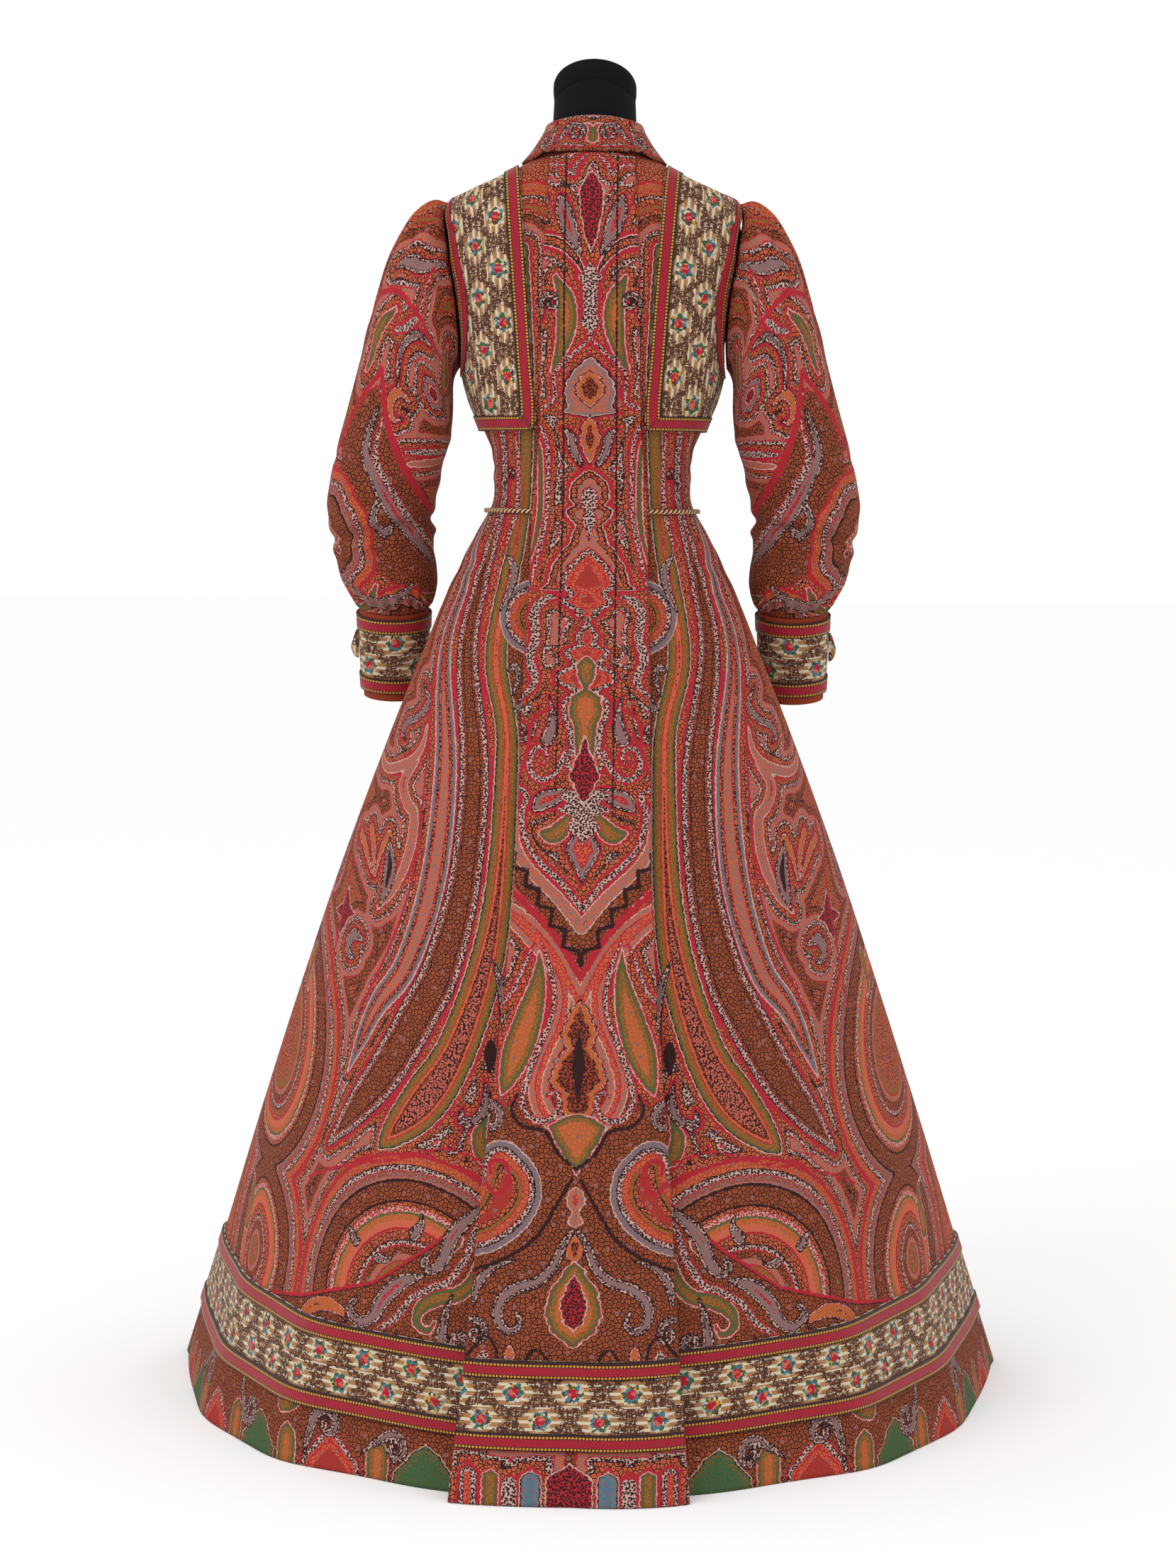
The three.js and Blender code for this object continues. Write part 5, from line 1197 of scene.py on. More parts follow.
def makePanels():
    made = {}
    for part, held in (("back", "hung"), ("front", "hung")):
        angles, levels = panelAngles(part, panel[part + "Columns"])
        outer = bodyGrid(angles, levels, 0)
        inner = bodyGrid(angles, levels, -cloth["wall"])
        across = alongRows(outer)
        if part == "front":
            across = across[:, -1:] - across
        up = hangOf(levels)
        pattern = [shape for shape in panelPattern() if part == "back" or shape[0] != "comma"]
        fields = shawlFields(pattern, across, up)
        for word, side in sides:
            name = f"{part}_{word}"
            made[name] = declare(
                clothShell(name + "_cloth", outer, inner, [shawlCloth, lining], fields=fields, side=side),
                [name], "shawl_cloth")
            declareSheet(made[name], outer, held)
    print("panels made")
    return made


# The centre back pleat. Its counts are cells across a half, and rows.

pleatColumns = {"under": 3, "fold": 6, "side": 9, "middle": 86, "rows": 590}


# Places across and heights over the panels, from one folded edge to the other, moved in by inset.
def pleatSection(at, inset):
    w, inner = pleatAt["halfWidth"](at), pleatAt["inner"](at)
    low, high = pleatAt["low"](at), pleatAt["top"](at) + pleat["wall"]
    middle, half = (low + high) / 2, (high - low) / 2 - inset
    deep = pleat["foldDepth"] - inset
    under = np.linspace(1, 0, pleatColumns["under"] + 1)[:-1]
    turn = np.linspace(-np.pi / 2, np.pi / 2, pleatColumns["fold"] + 1)
    xs = [w - pleat["foldDepth"] - (pleat["turn"] - pleat["foldDepth"]) * k for k in under]
    hs = [low + inset] * len(under)
    xs += [w - pleat["foldDepth"] + deep * math.cos(k) for k in turn]
    hs += [middle + half * math.sin(k) for k in turn]
    for k in np.linspace(0, 1, pleatColumns["side"] + 1)[1:]:
        xs.append((w - pleat["foldDepth"]) * (1 - k) + (inner + pleat["outsideStep"]) * k)
        hs.append(high - inset)
    half = pleatColumns["middle"] // 2
    for k in np.linspace(1, 0, half + 1):
        x = (inner - pleat["insideStep"]) * k
        xs.append(x)
        crown = pleat["crown"] * math.cos(k * math.pi / 2)
        hs.append(high - inset + pleat["step"] + crown)
    xs, hs = np.array(xs), np.array(hs)
    return np.concatenate((-xs, xs[-2::-1])), np.concatenate((hs, hs[-2::-1]))


# Name, rows of the hem between which it runs, height over the cloth, wall, rows of cells on the pleat and
# beside it, material and slot.
hemStrips = [
    ("band", "bandLow", "bandHigh", cloth["lay"], cloth["trimWall"], 22, 20, floweredCloth, "flowered_cloth"),
    ("ribbon_lower", "bandLow", "ribbonLow", onBand, cloth["ribbonWall"], 6, 5, ribbonCloth, "ribbon"),
    ("ribbon_upper", "ribbonHigh", "bandHigh", onBand, cloth["ribbonWall"], 6, 5, ribbonCloth, "ribbon"),
]


def makePleat():
    levels = np.linspace(cloth["hem"], pleat["top"], pleatColumns["rows"] + 1)
    grids = []
    for inset in (0, pleat["wall"]):
        rows = []
        for at in levels:
            x, height = pleatSection(at, inset)
            angle = np.sign(x) * angleOfX(np.abs(x), at)
            rows.append(bodyPoint(angle, at, height + relief(angle, at)))
        grids.append(np.array(rows))
    outer, inner = grids
    across = alongRows(outer)
    across -= across[:, across.shape[1] // 2][:, None]
    up = np.broadcast_to(hangOf(levels)[:, None], across.shape)
    fields = shawlFields(pleatPattern(), np.abs(across), up)
    fields["place"] = np.stack((across, up, np.zeros_like(up)), -1)
    piece = clothShell("centre_back_pleat_cloth", outer, inner, [shawlCloth, lining], fields=fields)
    declare(piece, ["centre_back_pleat"], "shawl_cloth")
    declareSheet(piece, outer, "folded")

    for name, low, high, over, thick, rows, _, finish, slot in hemStrips:
        strip = []
        for extra in (thick, 0):
            grid = []
            for at in np.linspace(hemRows[low][0], hemRows[high][0], rows + 1):
                w, inner = pleatAt["halfWidth"](at) - 0.0022, pleatAt["inner"](at)
                x = np.concatenate((np.linspace(0, inner - 0.0012, 30), np.linspace(inner + 0.002, w, 6)))
                x = np.concatenate((-x[:0:-1], x))
                raised = pleat["step"] + pleat["crown"] * np.cos(x / inner * np.pi / 2)
                step = np.where(np.abs(x) < inner, raised, 0)
                height = pleatAt["top"](at) + pleat["wall"] + step + over + extra
                angle = np.sign(x) * angleOfX(np.abs(x), at)
                grid.append(bodyPoint(angle, at, height + relief(angle, at)))
            strip.append(np.array(grid))
        trim("pleat_" + name, strip[0], strip[1], finish, slot)
    print("pleat made")


# A trimming strip with its own length and width as the pattern's places.
def trim(name, outer, inner, finish, slot, side=1, keep=None, place=None, ring=False, fields=None):
    if place is None:
        along = alongRows(outer)
        along = along - along.mean()
        span = np.linalg.norm(np.diff(outer, axis=0), axis=-1)
        over = np.concatenate((np.zeros((1, outer.shape[1])), np.cumsum(span, axis=0)))
        if finish is floweredCloth:
            over = over - bolero["ribbon"]
        place = np.stack((along, over, np.zeros_like(over)), -1)
    fields = fields or {"place": place}
    piece = clothShell(
        name + "_cloth", outer, inner, [finish], keep=keep, fields=fields, side=side, ring=ring)
    declare(piece, [name], slot)
    if keep is None:
        declareSheet(piece, np.concatenate((outer, outer[:, :1]), 1) if ring else outer, "stretched")
    return piece


# Hem bands, from one side of the pleat round to the front, in degrees.

hemTrim = {"columns": 250, "from": 10.1, "to": 169.9}


def makeHem():
    angles = np.linspace(hemTrim["from"], hemTrim["to"], hemTrim["columns"] + 1)[None, :]
    for name, low, high, over, thick, _, rows, finish, slot in hemStrips:
        share = np.linspace(0, 1, rows + 1)[:, None]
        levels = rowLevel(hemRows[low], angles) * (1 - share) + rowLevel(hemRows[high], angles) * share
        every = np.broadcast_to(angles, levels.shape)
        outer = bodyGrid(every, levels, over + thick)
        inner = bodyGrid(every, levels, over)
        for word, side in sides:
            trim(f"hem_{name}_{word}", outer, inner, finish, slot, side=side)
    print("hem bands made")


# The pieces of a bolero and their ribbons share one grid.

boleroMesh = {"ribbonColumns": 6, "columns": 40, "rows": (14, 60, 8)}


def boleroGrid(part):
    levels = levelsThrough(boleroArmhole, bolero["low"], bolero["high"], boleroMesh["rows"])
    levels = np.sort(np.concatenate((levels, [bolero["low"] + bolero["ribbon"]])))[:, None]
    share = np.clip((levels - bolero["low"]) / (bolero["high"] - bolero["low"]), 0, 1)
    edgeX = bolero["lowEdge"] + (bolero["highEdge"] - bolero["lowEdge"]) * share
    half = body["halfWidth"](levels)
    inner = angleOfX(edgeX, levels)
    ribbon = angleOfX(np.minimum(edgeX + bolero["ribbon"], half - 0.001), levels)
    outer = 90 - seamAngle(levels) - holeAngle(boleroArmhole, levels, part)
    edge = np.maximum(outer - np.degrees(bolero["ribbon"] / half), ribbon + 3)
    last = np.maximum(outer, edge + 3)
    near = np.linspace(0, 1, boleroMesh["ribbonColumns"] + 1)[None, :]
    wide = np.linspace(0, 1, boleroMesh["columns"] + 1)[None, :]
    angles = np.concatenate((
        inner + (ribbon - inner) * near,
        (ribbon + (edge - ribbon) * wide)[:, 1:],
        (edge + (last - edge) * near)[:, 1:]), axis=1)
    if part == "front":
        angles = (180 - angles)[:, ::-1]
    return angles, np.broadcast_to(levels, angles.shape)


def makeBoleros():
    count = boleroMesh["ribbonColumns"]
    for part in ("back", "front"):
        angles, levels = boleroGrid(part)
        flare = bolero["flare"] * np.clip((1.15 - levels) / 0.043, 0, 1)
        aside = np.abs(np.where(angles > 90, 180 - angles, angles))
        corner = 0.005 * bump(levels, bolero["low"], 0.02) * bump(aside, 32, 16)
        rest = flare + corner
        cells = angles.shape[1] - 1
        atCentre = np.arange(cells) < count
        atArm = np.arange(cells) >= cells - count
        if part == "front":
            atCentre, atArm = atCentre[::-1], atArm[::-1]
        row = (levels[:-1, 0] + levels[1:, 0]) / 2
        lowRow = row < bolero["low"] + bolero["ribbon"]
        border = lowRow[:, None] | atCentre[None, :]
        arm = atArm[None, :] & (row > boleroArmhole["low"])[:, None]
        outer = bodyGrid(angles, levels, cloth["lay"] + cloth["trimWall"] + rest)
        inner = bodyGrid(angles, levels, cloth["lay"] + rest)
        top = bodyGrid(angles, levels, onBand + cloth["ribbonWall"] + rest)
        under = bodyGrid(angles, levels, onBand + rest)
        across = alongRows(outer)
        fromCentre = across[:, -1:] - across if part == "front" else across
        fromArm = across if part == "front" else across[:, -1:] - across
        fromLow = hangOf(levels) - hangOf(bolero["low"])
        nothing = np.zeros_like(across)
        place = np.stack((hangOf(levels), fromCentre - bolero["ribbon"], nothing), -1)
        beside = np.where(fromCentre < fromLow, hangOf(levels), across)
        borderPlace = np.stack((beside, np.minimum(fromCentre, fromLow), nothing), -1)
        armPlace = np.stack((hangOf(levels), fromArm, nothing), -1)
        for word, side in sides:
            name = f"bolero_{part}"
            trim(f"{name}_{word}", outer, inner, floweredCloth, "flowered_cloth", side=side, place=place)
            trim(f"{name}_ribbon_{word}", top, under, ribbonCloth, "ribbon", side, border, borderPlace)
            trim(f"{name}_armhole_ribbon_{word}", top, under, ribbonCloth, "ribbon", side, arm, armPlace)
    print("boleros made")


# Sleeves and cuffs.

sleeveRings = [  # outerX, outerZ, innerX, innerZ, y, halfDepth, pitch
    (0.181, 1.369, 0.157, 1.174, -0.001, 0.06, 0),
    (0.203, 1.355, 0.16, 1.166, -0.003, 0.068, 0),
    (0.223, 1.327, 0.161, 1.157, -0.004, 0.07, 0),
    (0.241, 1.285, 0.161, 1.146, -0.004, 0.07, 0),
    (0.256, 1.236, 0.161, 1.131, -0.002, 0.068, 0),
    (0.269, 1.186, 0.163, 1.11, 0.003, 0.067, 2),
    (0.284, 1.132, 0.169, 1.083, 0.012, 0.066, 5),
    (0.298, 1.083, 0.177, 1.057, 0.022, 0.065, 8),
    (0.308, 1.034, 0.184, 1.022, 0.034, 0.063, 11),
    (0.307, 0.998, 0.187, 0.993, 0.043, 0.061, 13),
    (0.301, 0.963, 0.184, 0.96, 0.053, 0.059, 14),
    (0.294, 0.935, 0.183, 0.933, 0.06, 0.055, 14),
    (0.284, 0.918, 0.187, 0.917, 0.065, 0.048, 14),
    (0.275, 0.9015, 0.193, 0.9015, 0.0709, 0.037, 14),
]
sleeve = {
    "columns": 132, "rows": 150, "headGathers": 17, "headDepth": 0.004, "headReach": 0.085,
    "cuffGathers": 21, "cuffDepth": 0.0034, "cuffReach": 0.055,
}
cuff = {
    "top": (0.234, 0.071, 0.901), "bottom": (0.234, 0.099, 0.798), "topHalf": 0.041, "bottomHalf": 0.0375,
    "topDepth": 0.037, "bottomDepth": 0.0335, "pitch": 14, "columns": 88,
    "band": (0.06, 0.9), "upper": (0.05, 0.22), "lower": (0.74, 0.91),
}
tab = {  # the outline is in shares of its reach and of half its height
    "reach": 0.011, "height": 0.034, "thick": 0.0024, "at": 0.42,
    "outline": [
        (0, -1), (0.3, -0.98), (0.62, -0.7), (0.82, -0.34), (0.8, -0.08), (0.62, 0.3), (0.42, 0.72),
        (0.26, 0.96), (0, 1)],
}


# A smooth surface through rings of points, with the share of its length that each row is at.
def throughRings(rings, rows):
    steps = np.linalg.norm(np.diff(rings, axis=0), axis=-1).mean(1)
    stops = np.concatenate(([0], np.cumsum(steps)))
    slopes = np.gradient(rings, stops, axis=0)
    places = np.linspace(0, stops[-1], rows + 1)
    i = np.clip(np.searchsorted(stops, places, side="right") - 1, 0, len(stops) - 2)
    span = (stops[i + 1] - stops[i])[:, None, None]
    t = (places - stops[i])[:, None, None] / span
    h = t * t * (3 - 2 * t)
    bend = slopes[i] * t * (1 - t) ** 2 - slopes[i + 1] * t * t * (1 - t)
    return rings[i] * (1 - h) + rings[i + 1] * h + span * bend, places


def ringNormals(grid, ring=True):
    if ring:
        across = np.roll(grid, -1, 1) - np.roll(grid, 1, 1)
    else:
        across = np.gradient(grid, axis=1)
    up = np.gradient(grid, axis=0)
    normal = np.cross(across, up)
    return normal / np.linalg.norm(normal, axis=-1, keepdims=True)


def sleeveSurface():
    turns = np.linspace(2 * np.pi, 0, sleeve["columns"] + 1)[:-1]
    middle = (armhole["low"] + armhole["high"]) / 2
    reach = (armhole["high"] - armhole["low"]) / 2
    s = np.sin(turns)
    holeEdge = bodyPoint(90 - np.where(s > 0, armhole["back"], armhole["front"]) * s,
                         middle + reach * np.cos(turns), cloth["lay"] + cloth["wall"])
    rings = [holeEdge]
    for outerX, outerZ, innerX, innerZ, y, halfDepth, pitch in sleeveRings:
        outerEnd, innerEnd = np.array((outerX, y, outerZ)), np.array((innerX, y, innerZ))
        deep = np.array((0, -math.cos(math.radians(pitch)), -math.sin(math.radians(pitch))))
        rings.append((outerEnd + innerEnd) / 2 + np.cos(turns)[:, None] * (outerEnd - innerEnd) / 2
                     + np.sin(turns)[:, None] * deep * halfDepth)
    grid, along = throughRings(np.array(rings), sleeve["rows"])
    length = along[-1]
    down = along[:, None]
    around = turns[None, :]
    outwards = -ringNormals(grid)
    top = smoothStep(np.cos(around), math.cos(math.radians(125)), 0.1)
    deep = sleeve["headDepth"]
    head = deep * bump(down, 0.022, 0.02) + 0.55 * deep * bump(down, 0.05, sleeve["headReach"] / 2)
    wave = np.abs(np.sin(around * sleeve["headGathers"] / 2 + 0.8 * np.sin(around * 3)))
    gathers = head * top * (wave - 0.6) * 1.5
    near = bump(down, length - 0.014, sleeve["cuffReach"] / 2.1) * smoothStep(length - down, 0, 0.008)
    wave = np.abs(np.sin(around * sleeve["cuffGathers"] / 2 + 0.7 * np.sin(around * 2 + 1)))
    gathers = gathers + sleeve["cuffDepth"] * near * (wave - 0.6) * 1.5
    # slanting drag folds of the upper arm and the bend over the cuff
    slant = down - 0.018 * np.cos(around + 0.6)
    gathers = gathers + 0.004 * bump(slant, length - 0.087, 0.007) * (0.4 + 0.6 * np.sin(around / 2) ** 2)
    crease = 0.0064 * bump(slant, length - 0.101, 0.006)
    gathers = gathers - crease * (0.3 + 0.7 * bump(np.sin(around), 1, 0.8))
    gathers = gathers + 0.004 * bump(slant, length - 0.118, 0.009) * bump(np.sin(around), 1, 0.9)
    crease = 0.0036 * bump(down + 0.03 * np.cos(around - 0.4), length - 0.148, 0.006)
    gathers = gathers - crease * bump(np.sin(around), 0.7, 0.7)
    for place, tilt, width, deepness in ((0.12, 0.05, 0.012, 0.0018), (0.185, 0.06, 0.014, 0.0022),
                                         (0.25, -0.04, 0.012, 0.0018), (0.31, 0.03, 0.01, 0.0016)):
        crease = deepness * bump(down + tilt * np.cos(around), place, width)
        gathers = gathers + crease * np.sin(around * 1.5 + place * 20)
    gathers = gathers * smoothStep(down, 0, 0.012)
    outer = grid + outwards * gathers[..., None]
    inner = grid + outwards * (gathers - cloth["wall"])[..., None]
    return outer[::-1], inner[::-1], along[::-1]


def cuffPoint(turn, share, out):
    half = cuff["topHalf"] * (1 - share) + cuff["bottomHalf"] * share + out
    depth = cuff["topDepth"] * (1 - share) + cuff["bottomDepth"] * share + out
    tip = math.radians(cuff["pitch"])
    x, y, z = ((1 - share) * cuff["top"][i] + share * cuff["bottom"][i] for i in range(3))
    return np.stack(np.broadcast_arrays(
        x + half * np.cos(turn),
        y - depth * np.sin(turn) * math.cos(tip),
        z - depth * np.sin(turn) * math.sin(tip)), -1)


def cuffGrid(low, high, rows, out):
    turns = np.linspace(2 * np.pi, 0, cuff["columns"] + 1)[:-1]
    shares = np.linspace(high, low, rows + 1)[:, None]
    wave = 0.0007 * np.sin(turns * 3 + 1) * bump(shares, 0.5, 0.4)
    return cuffPoint(turns[None, :], shares, out + wave)


def makeSleeves():
    outer, inner, along = sleeveSurface()
    ringed = np.concatenate((outer, outer[:, :1]), axis=1)
    across = alongRows(ringed)[:, :-1]
    # the pattern's places run from the line that faces back, the same on both sleeves
    backColumn = int(np.argmin(outer[len(outer) // 2, :, 1]))
    across = across - across[:, backColumn:backColumn + 1]
    up = np.broadcast_to(-along[:, None], across.shape)
    fields = shawlFields(sleevePattern(), across, up)
    for word, side in sides:
        name = f"sleeve_{word}"
        piece = clothShell(
            name + "_cloth", outer, inner, [shawlCloth, lining], ring=True, fields=fields, side=side)
        declare(piece, [name], "shawl_cloth")
        declareSheet(piece, ringed, "gathered")
        cuffShell = trim(
            f"cuff_{word}", cuffGrid(0, 1, 20, 0), cuffGrid(0, 1, 20, -cloth["wall"]), floweredCloth,
            "shawl_cloth", side=side, ring=True)
        cuffShell.data.materials.clear()
        cuffShell.data.materials.append(plainShawl)
        low, high = cuff["band"]
        over = cloth["lay"]
        trim(
            f"cuff_band_{word}", cuffGrid(low, high, 16, over + cloth["trimWall"]),
            cuffGrid(low, high, 16, over), floweredCloth, "flowered_cloth", side=side, ring=True)
        for part in ("upper", "lower"):
            low, high = cuff[part]
            trim(f"cuff_ribbon_{part}_{word}", cuffGrid(low, high, 5, onBand + cloth["ribbonWall"]),
                 cuffGrid(low, high, 5, onBand), ribbonCloth, "ribbon", side=side, ring=True)
        makeTab(word, side)
    print("sleeves made")


def makeTab(word, side):
    half = tab["height"] / 2
    outline = [(tab["reach"] * x, half * z) for x, z in tab["outline"]]
    root = cuffPoint(0, tab["at"], cloth["lay"] + cloth["trimWall"] + cloth["lay"] + 0.0002)
    rings = []
    for inset, y in ((0.0006, -0.5), (0, -0.2), (0, 0.2), (0.0006, 0.5)):
        ring = []
        for x, z in outline:
            shrink = 1 - inset / half
            ring.append(root + np.array((x * shrink, y * tab["thick"], z * shrink)))
        rings.append(ring)
    points = np.array(rings).reshape(-1, 3)
    n = len(outline)
    faces = [(i * n + j, i * n + (j + 1) % n, (i + 1) * n + (j + 1) % n, (i + 1) * n + j)
             for i in range(3) for j in range(n)]
    faces += [tuple(reversed(range(n))), tuple(range(3 * n, 4 * n))]
    if side < 0:
        points[:, 0] *= -1
        faces = [tuple(reversed(face)) for face in faces]
    place = points[:, (2, 0, 1)] * 1.0
    piece = meshPiece(f"cuff_tab_{word}_cloth", points, faces, [floweredCloth], fields={"place": place})
    declare(piece, [f"cuff_tab_{word}"], "shawl_cloth")


# The collar, the stand inside it and the lap over the front closing.

collarRings = [  # halfWidth, back, front, zBack, zSide, zFront
    (0.0495, 0.0475, 0.05, 1.464, 1.458, 1.434),
    (0.053, 0.0515, 0.054, 1.4635, 1.457, 1.433),
    (0.059, 0.061, 0.06, 1.455, 1.446, 1.423),
    (0.069, 0.076, 0.07, 1.437, 1.43, 1.408),
]
collar = {
    "wall": 0.002, "columns": 150, "rows": 34, "halfAngle": 168, "edge": (1.384, 1.409, 1.4), "over": 0.0032,
    "overPleat": 0.0098, "pleatAngle": 42, "stand": (0.0504, 0.0484, 0.051, 1.4595, 1.4535, 1.4295),
}
placket = {"halfWidth": 0.015, "low": 0.153, "high": 1.426, "pitch": 0.04, "floret": 0.0068, "line": 0.0128}


def oval(ring, angle, out=0):
    halfWidth, back, front, zBack, zSide, zFront = ring
    c = -np.cos(np.radians(angle))
    middle = np.where(c < 0, zBack, zFront)
    return np.stack((
        (halfWidth + out) * np.sin(np.radians(angle)),
        (np.where(c < 0, back, front) + out) * c,
        zSide + (middle - zSide) * c * c), -1)


def placketPattern():
    pattern = [("line", stroke([(placket["line"], -1.2, 0.0008), (placket["line"], 0.6, 0.0008)], 2))]
    for k in range(40):
        figure = ("leaf", "palm", "scroll")[k % 3]
        pattern.append((figure, ringed((0, k * placket["pitch"] - 1.1), placket["floret"], 6, 0.002)))
    return pattern


def makeCollar():
    angles = np.linspace(-collar["halfAngle"], collar["halfAngle"], collar["columns"] + 1)
    near = smoothStep(collar["pleatAngle"] - np.abs(angles), 0, 18)
    over = collar["over"] + near * (collar["overPleat"] - collar["over"])
    edge = bodyPoint(angles, rowLevel(collar["edge"], angles), over)
    rings = np.array([oval(ring, angles) for ring in collarRings] + [edge])
    grid, along = throughRings(rings, collar["rows"])
    outer = grid[::-1]
    inner = outer - ringNormals(outer, ring=False) * collar["wall"]
    across = alongRows(outer)
    across = np.abs(across - across[:, -1:] / 2)
    up = np.broadcast_to(-along[::-1, None], across.shape)
    fields = shawlFields(collarPattern(), across, up)
    piece = clothShell("collar_cloth", outer, inner, [shawlCloth, lining], fields=fields)
    declare(piece, ["collar"], "shawl_cloth")
    declareSheet(piece, outer, "folded")

    angles = np.linspace(-collar["halfAngle"] - 4, collar["halfAngle"] + 4, collar["columns"] + 1)
    walls = []
    for out in (0, -cloth["wall"]):
        foot = bodyPoint(angles, rowLevel((1.426, 1.426, 1.426), angles), out) + np.array((0, 0, 0.001))
        head = oval(collar["stand"], angles, out)
        share = np.linspace(0, 1, 9)[:, None, None]
        walls.append(foot[None] * (1 - share) + head[None] * share)
    trim("collar_stand", walls[0], walls[1], plainShawl, "shawl_cloth")
    levels = np.linspace(placket["low"], placket["high"], 261)[:, None]
    reach = angleOfX(placket["halfWidth"], levels)
    angles = 180 + reach * np.linspace(-1, 1, 13)[None, :]
    levels = np.broadcast_to(levels, angles.shape)
    outer = bodyGrid(angles, levels, cloth["lay"] + cloth["wall"])
    across = alongRows(outer)
    across = np.abs(across - across[:, -1:] / 2)
    fields = shawlFields(placketPattern(), across, hangOf(levels))
    trim("front_placket", outer, bodyGrid(angles, levels, cloth["lay"]), shawlCloth, "shawl_cloth",
         fields=fields)
    print("collar made")


# The dress form and its stand.

form = {"bottom": 0.85, "gap": 0.0026, "shoulder": 0.007, "low": 1.33, "high": 1.381, "columns": 96}
neckRings = [
    (0.0481, 0.0461, 0.0486, 1.459, 1.453, 1.429),
    (0.0466, 0.045, 0.047, 1.505, 1.482, 1.458),
]
neckCap = {"radius": 0.0475, "height": 1.499, "tilt": 30, "thick": 0.009, "dome": 0.007}
pole = {"radius": 0.016, "bottom": 0.0143, "sides": 48}
base = {"radius": 0.185, "thick": 0.014, "rim": 0.004, "sides": 96}


# A closed solid from rings of points, with a fan over each end.
def loft(name, rings, finish, fields=None):
    rings = np.asarray(rings)
    count, n = rings.shape[:2]
    points = np.concatenate((rings.reshape(-1, 3), [rings[0].mean(0), rings[-1].mean(0)]))
    faces = []
    for i in range(count - 1):
        for j in range(n):
            k = (j + 1) % n
            faces.append((i * n + j, i * n + k, (i + 1) * n + k, (i + 1) * n + j))
    hub = count * n
    for j in range(n):
        k = (j + 1) % n
        faces.append((hub, k, j))
        faces.append((hub + 1, (count - 1) * n + j, (count - 1) * n + k))
    return meshPiece(name, points, faces, [finish], fields=fields)


def makeForm():
    angles = np.linspace(0, 360, form["columns"] + 1)[:-1]
    signed = np.where(angles > 180, angles - 360, angles)
    rings = []
    for at in np.linspace(form["bottom"], 1.426, 90):
        gap = form["gap"] + (form["shoulder"] - form["gap"]) * smoothStep(at, form["low"], form["high"])
        rings.append(bodyPoint(signed, np.full(signed.shape, at), -cloth["wall"] - gap - 0.001))
    shoulder = np.array([rings[-1], oval(neckRings[0], angles)])
    rings += list(throughRings(shoulder, 6)[0][1:-1])
    rings += list(throughRings(np.array([oval(ring, angles) for ring in neckRings]), 12)[0])
    piece = loft("form_torso_cloth", rings, jersey)
    declare(piece, ["form_torso"], "form_cloth")

    slope = math.tan(math.radians(neckCap["tilt"]))
    turn = np.radians(angles)

    def rim(radius, rise, lean):
        y = -radius * np.cos(turn)
        return np.stack((radius * np.sin(turn), y, neckCap["height"] + rise - y * slope * lean), -1)

    radius, thick, dome = neckCap["radius"], neckCap["thick"], neckCap["dome"]
    rings = [oval(neckRings[-1], angles) + np.array((0, 0, 0.0004)), rim(radius - 0.0006, -thick, 0.92),
             rim(radius, -thick + 0.0008, 0.93), rim(radius, -0.0008, 1), rim(radius - 0.0006, 0.0006, 1),
             rim(radius - 0.0015, 0.0012, 1), rim(radius - 0.0022, 0.0008, 1)]
    for share in np.linspace(0.97, 0.1, 16):
        rings.append(rim((radius - 0.0022) * share, 0.001 + dome * (1 - share ** 2.4), 1))
    piece = loft("form_neck_cap_cloth", rings, jersey)
    declare(piece, ["form_neck_cap"], "form_cloth")

    def turned(name, profile, sides, finish, node):
        ringTurns = np.linspace(0, 2 * np.pi, sides + 1)[:-1]
        c, s = np.cos(ringTurns), np.sin(ringTurns)
        rings = [np.stack((r * c, r * s, np.full(sides, z)), -1) for r, z in profile]
        declare(loft(name, rings, finish), [node], "stand_metal")

    r, t, rim0 = base["radius"], base["thick"], base["rim"]
    profile = [(r * 0.5, 0), (r - 0.001, 0), (r, 0.001), (r, t - rim0)]
    for k in np.linspace(0.3, math.pi / 2, 5):
        profile.append((r - rim0 * (1 - math.cos(k)), t - rim0 + rim0 * math.sin(k)))
    profile += [(r * 0.5, t), (0.03, t)]
    turned("stand_base_disc", profile, base["sides"], enamel, "stand_base")
    top = form["bottom"] - 0.0006
    turned("stand_pole_tube", [(pole["radius"], pole["bottom"]), (pole["radius"], 0.3), (pole["radius"], 0.6),
                               (pole["radius"], top)], pole["sides"], enamel, "stand_pole")
    print("form and stand made")


# The waist cord, of twisted strands.

cord = {
    "level": 1.016, "radius": 0.0028, "strands": 4, "strand": 0.00135, "lay": 0.013, "knotHalf": 0.01,
    "knotRadius": 0.0065,
}


def cordRoute(count):
    knot = math.degrees((cord["knotHalf"] + 0.0004) / body["halfWidth"](cord["level"]))
    angle = np.linspace(-180 + knot, 180 - knot, count)
    near = smoothStep(np.abs(angle), 158, 172)
    level = np.full(count, cord["level"])
    over = near * (cloth["lay"] + cloth["wall"] + 0.0006)  # over the front lap
    return bodyPoint(angle, level, cord["radius"] + cloth["lay"] + over)


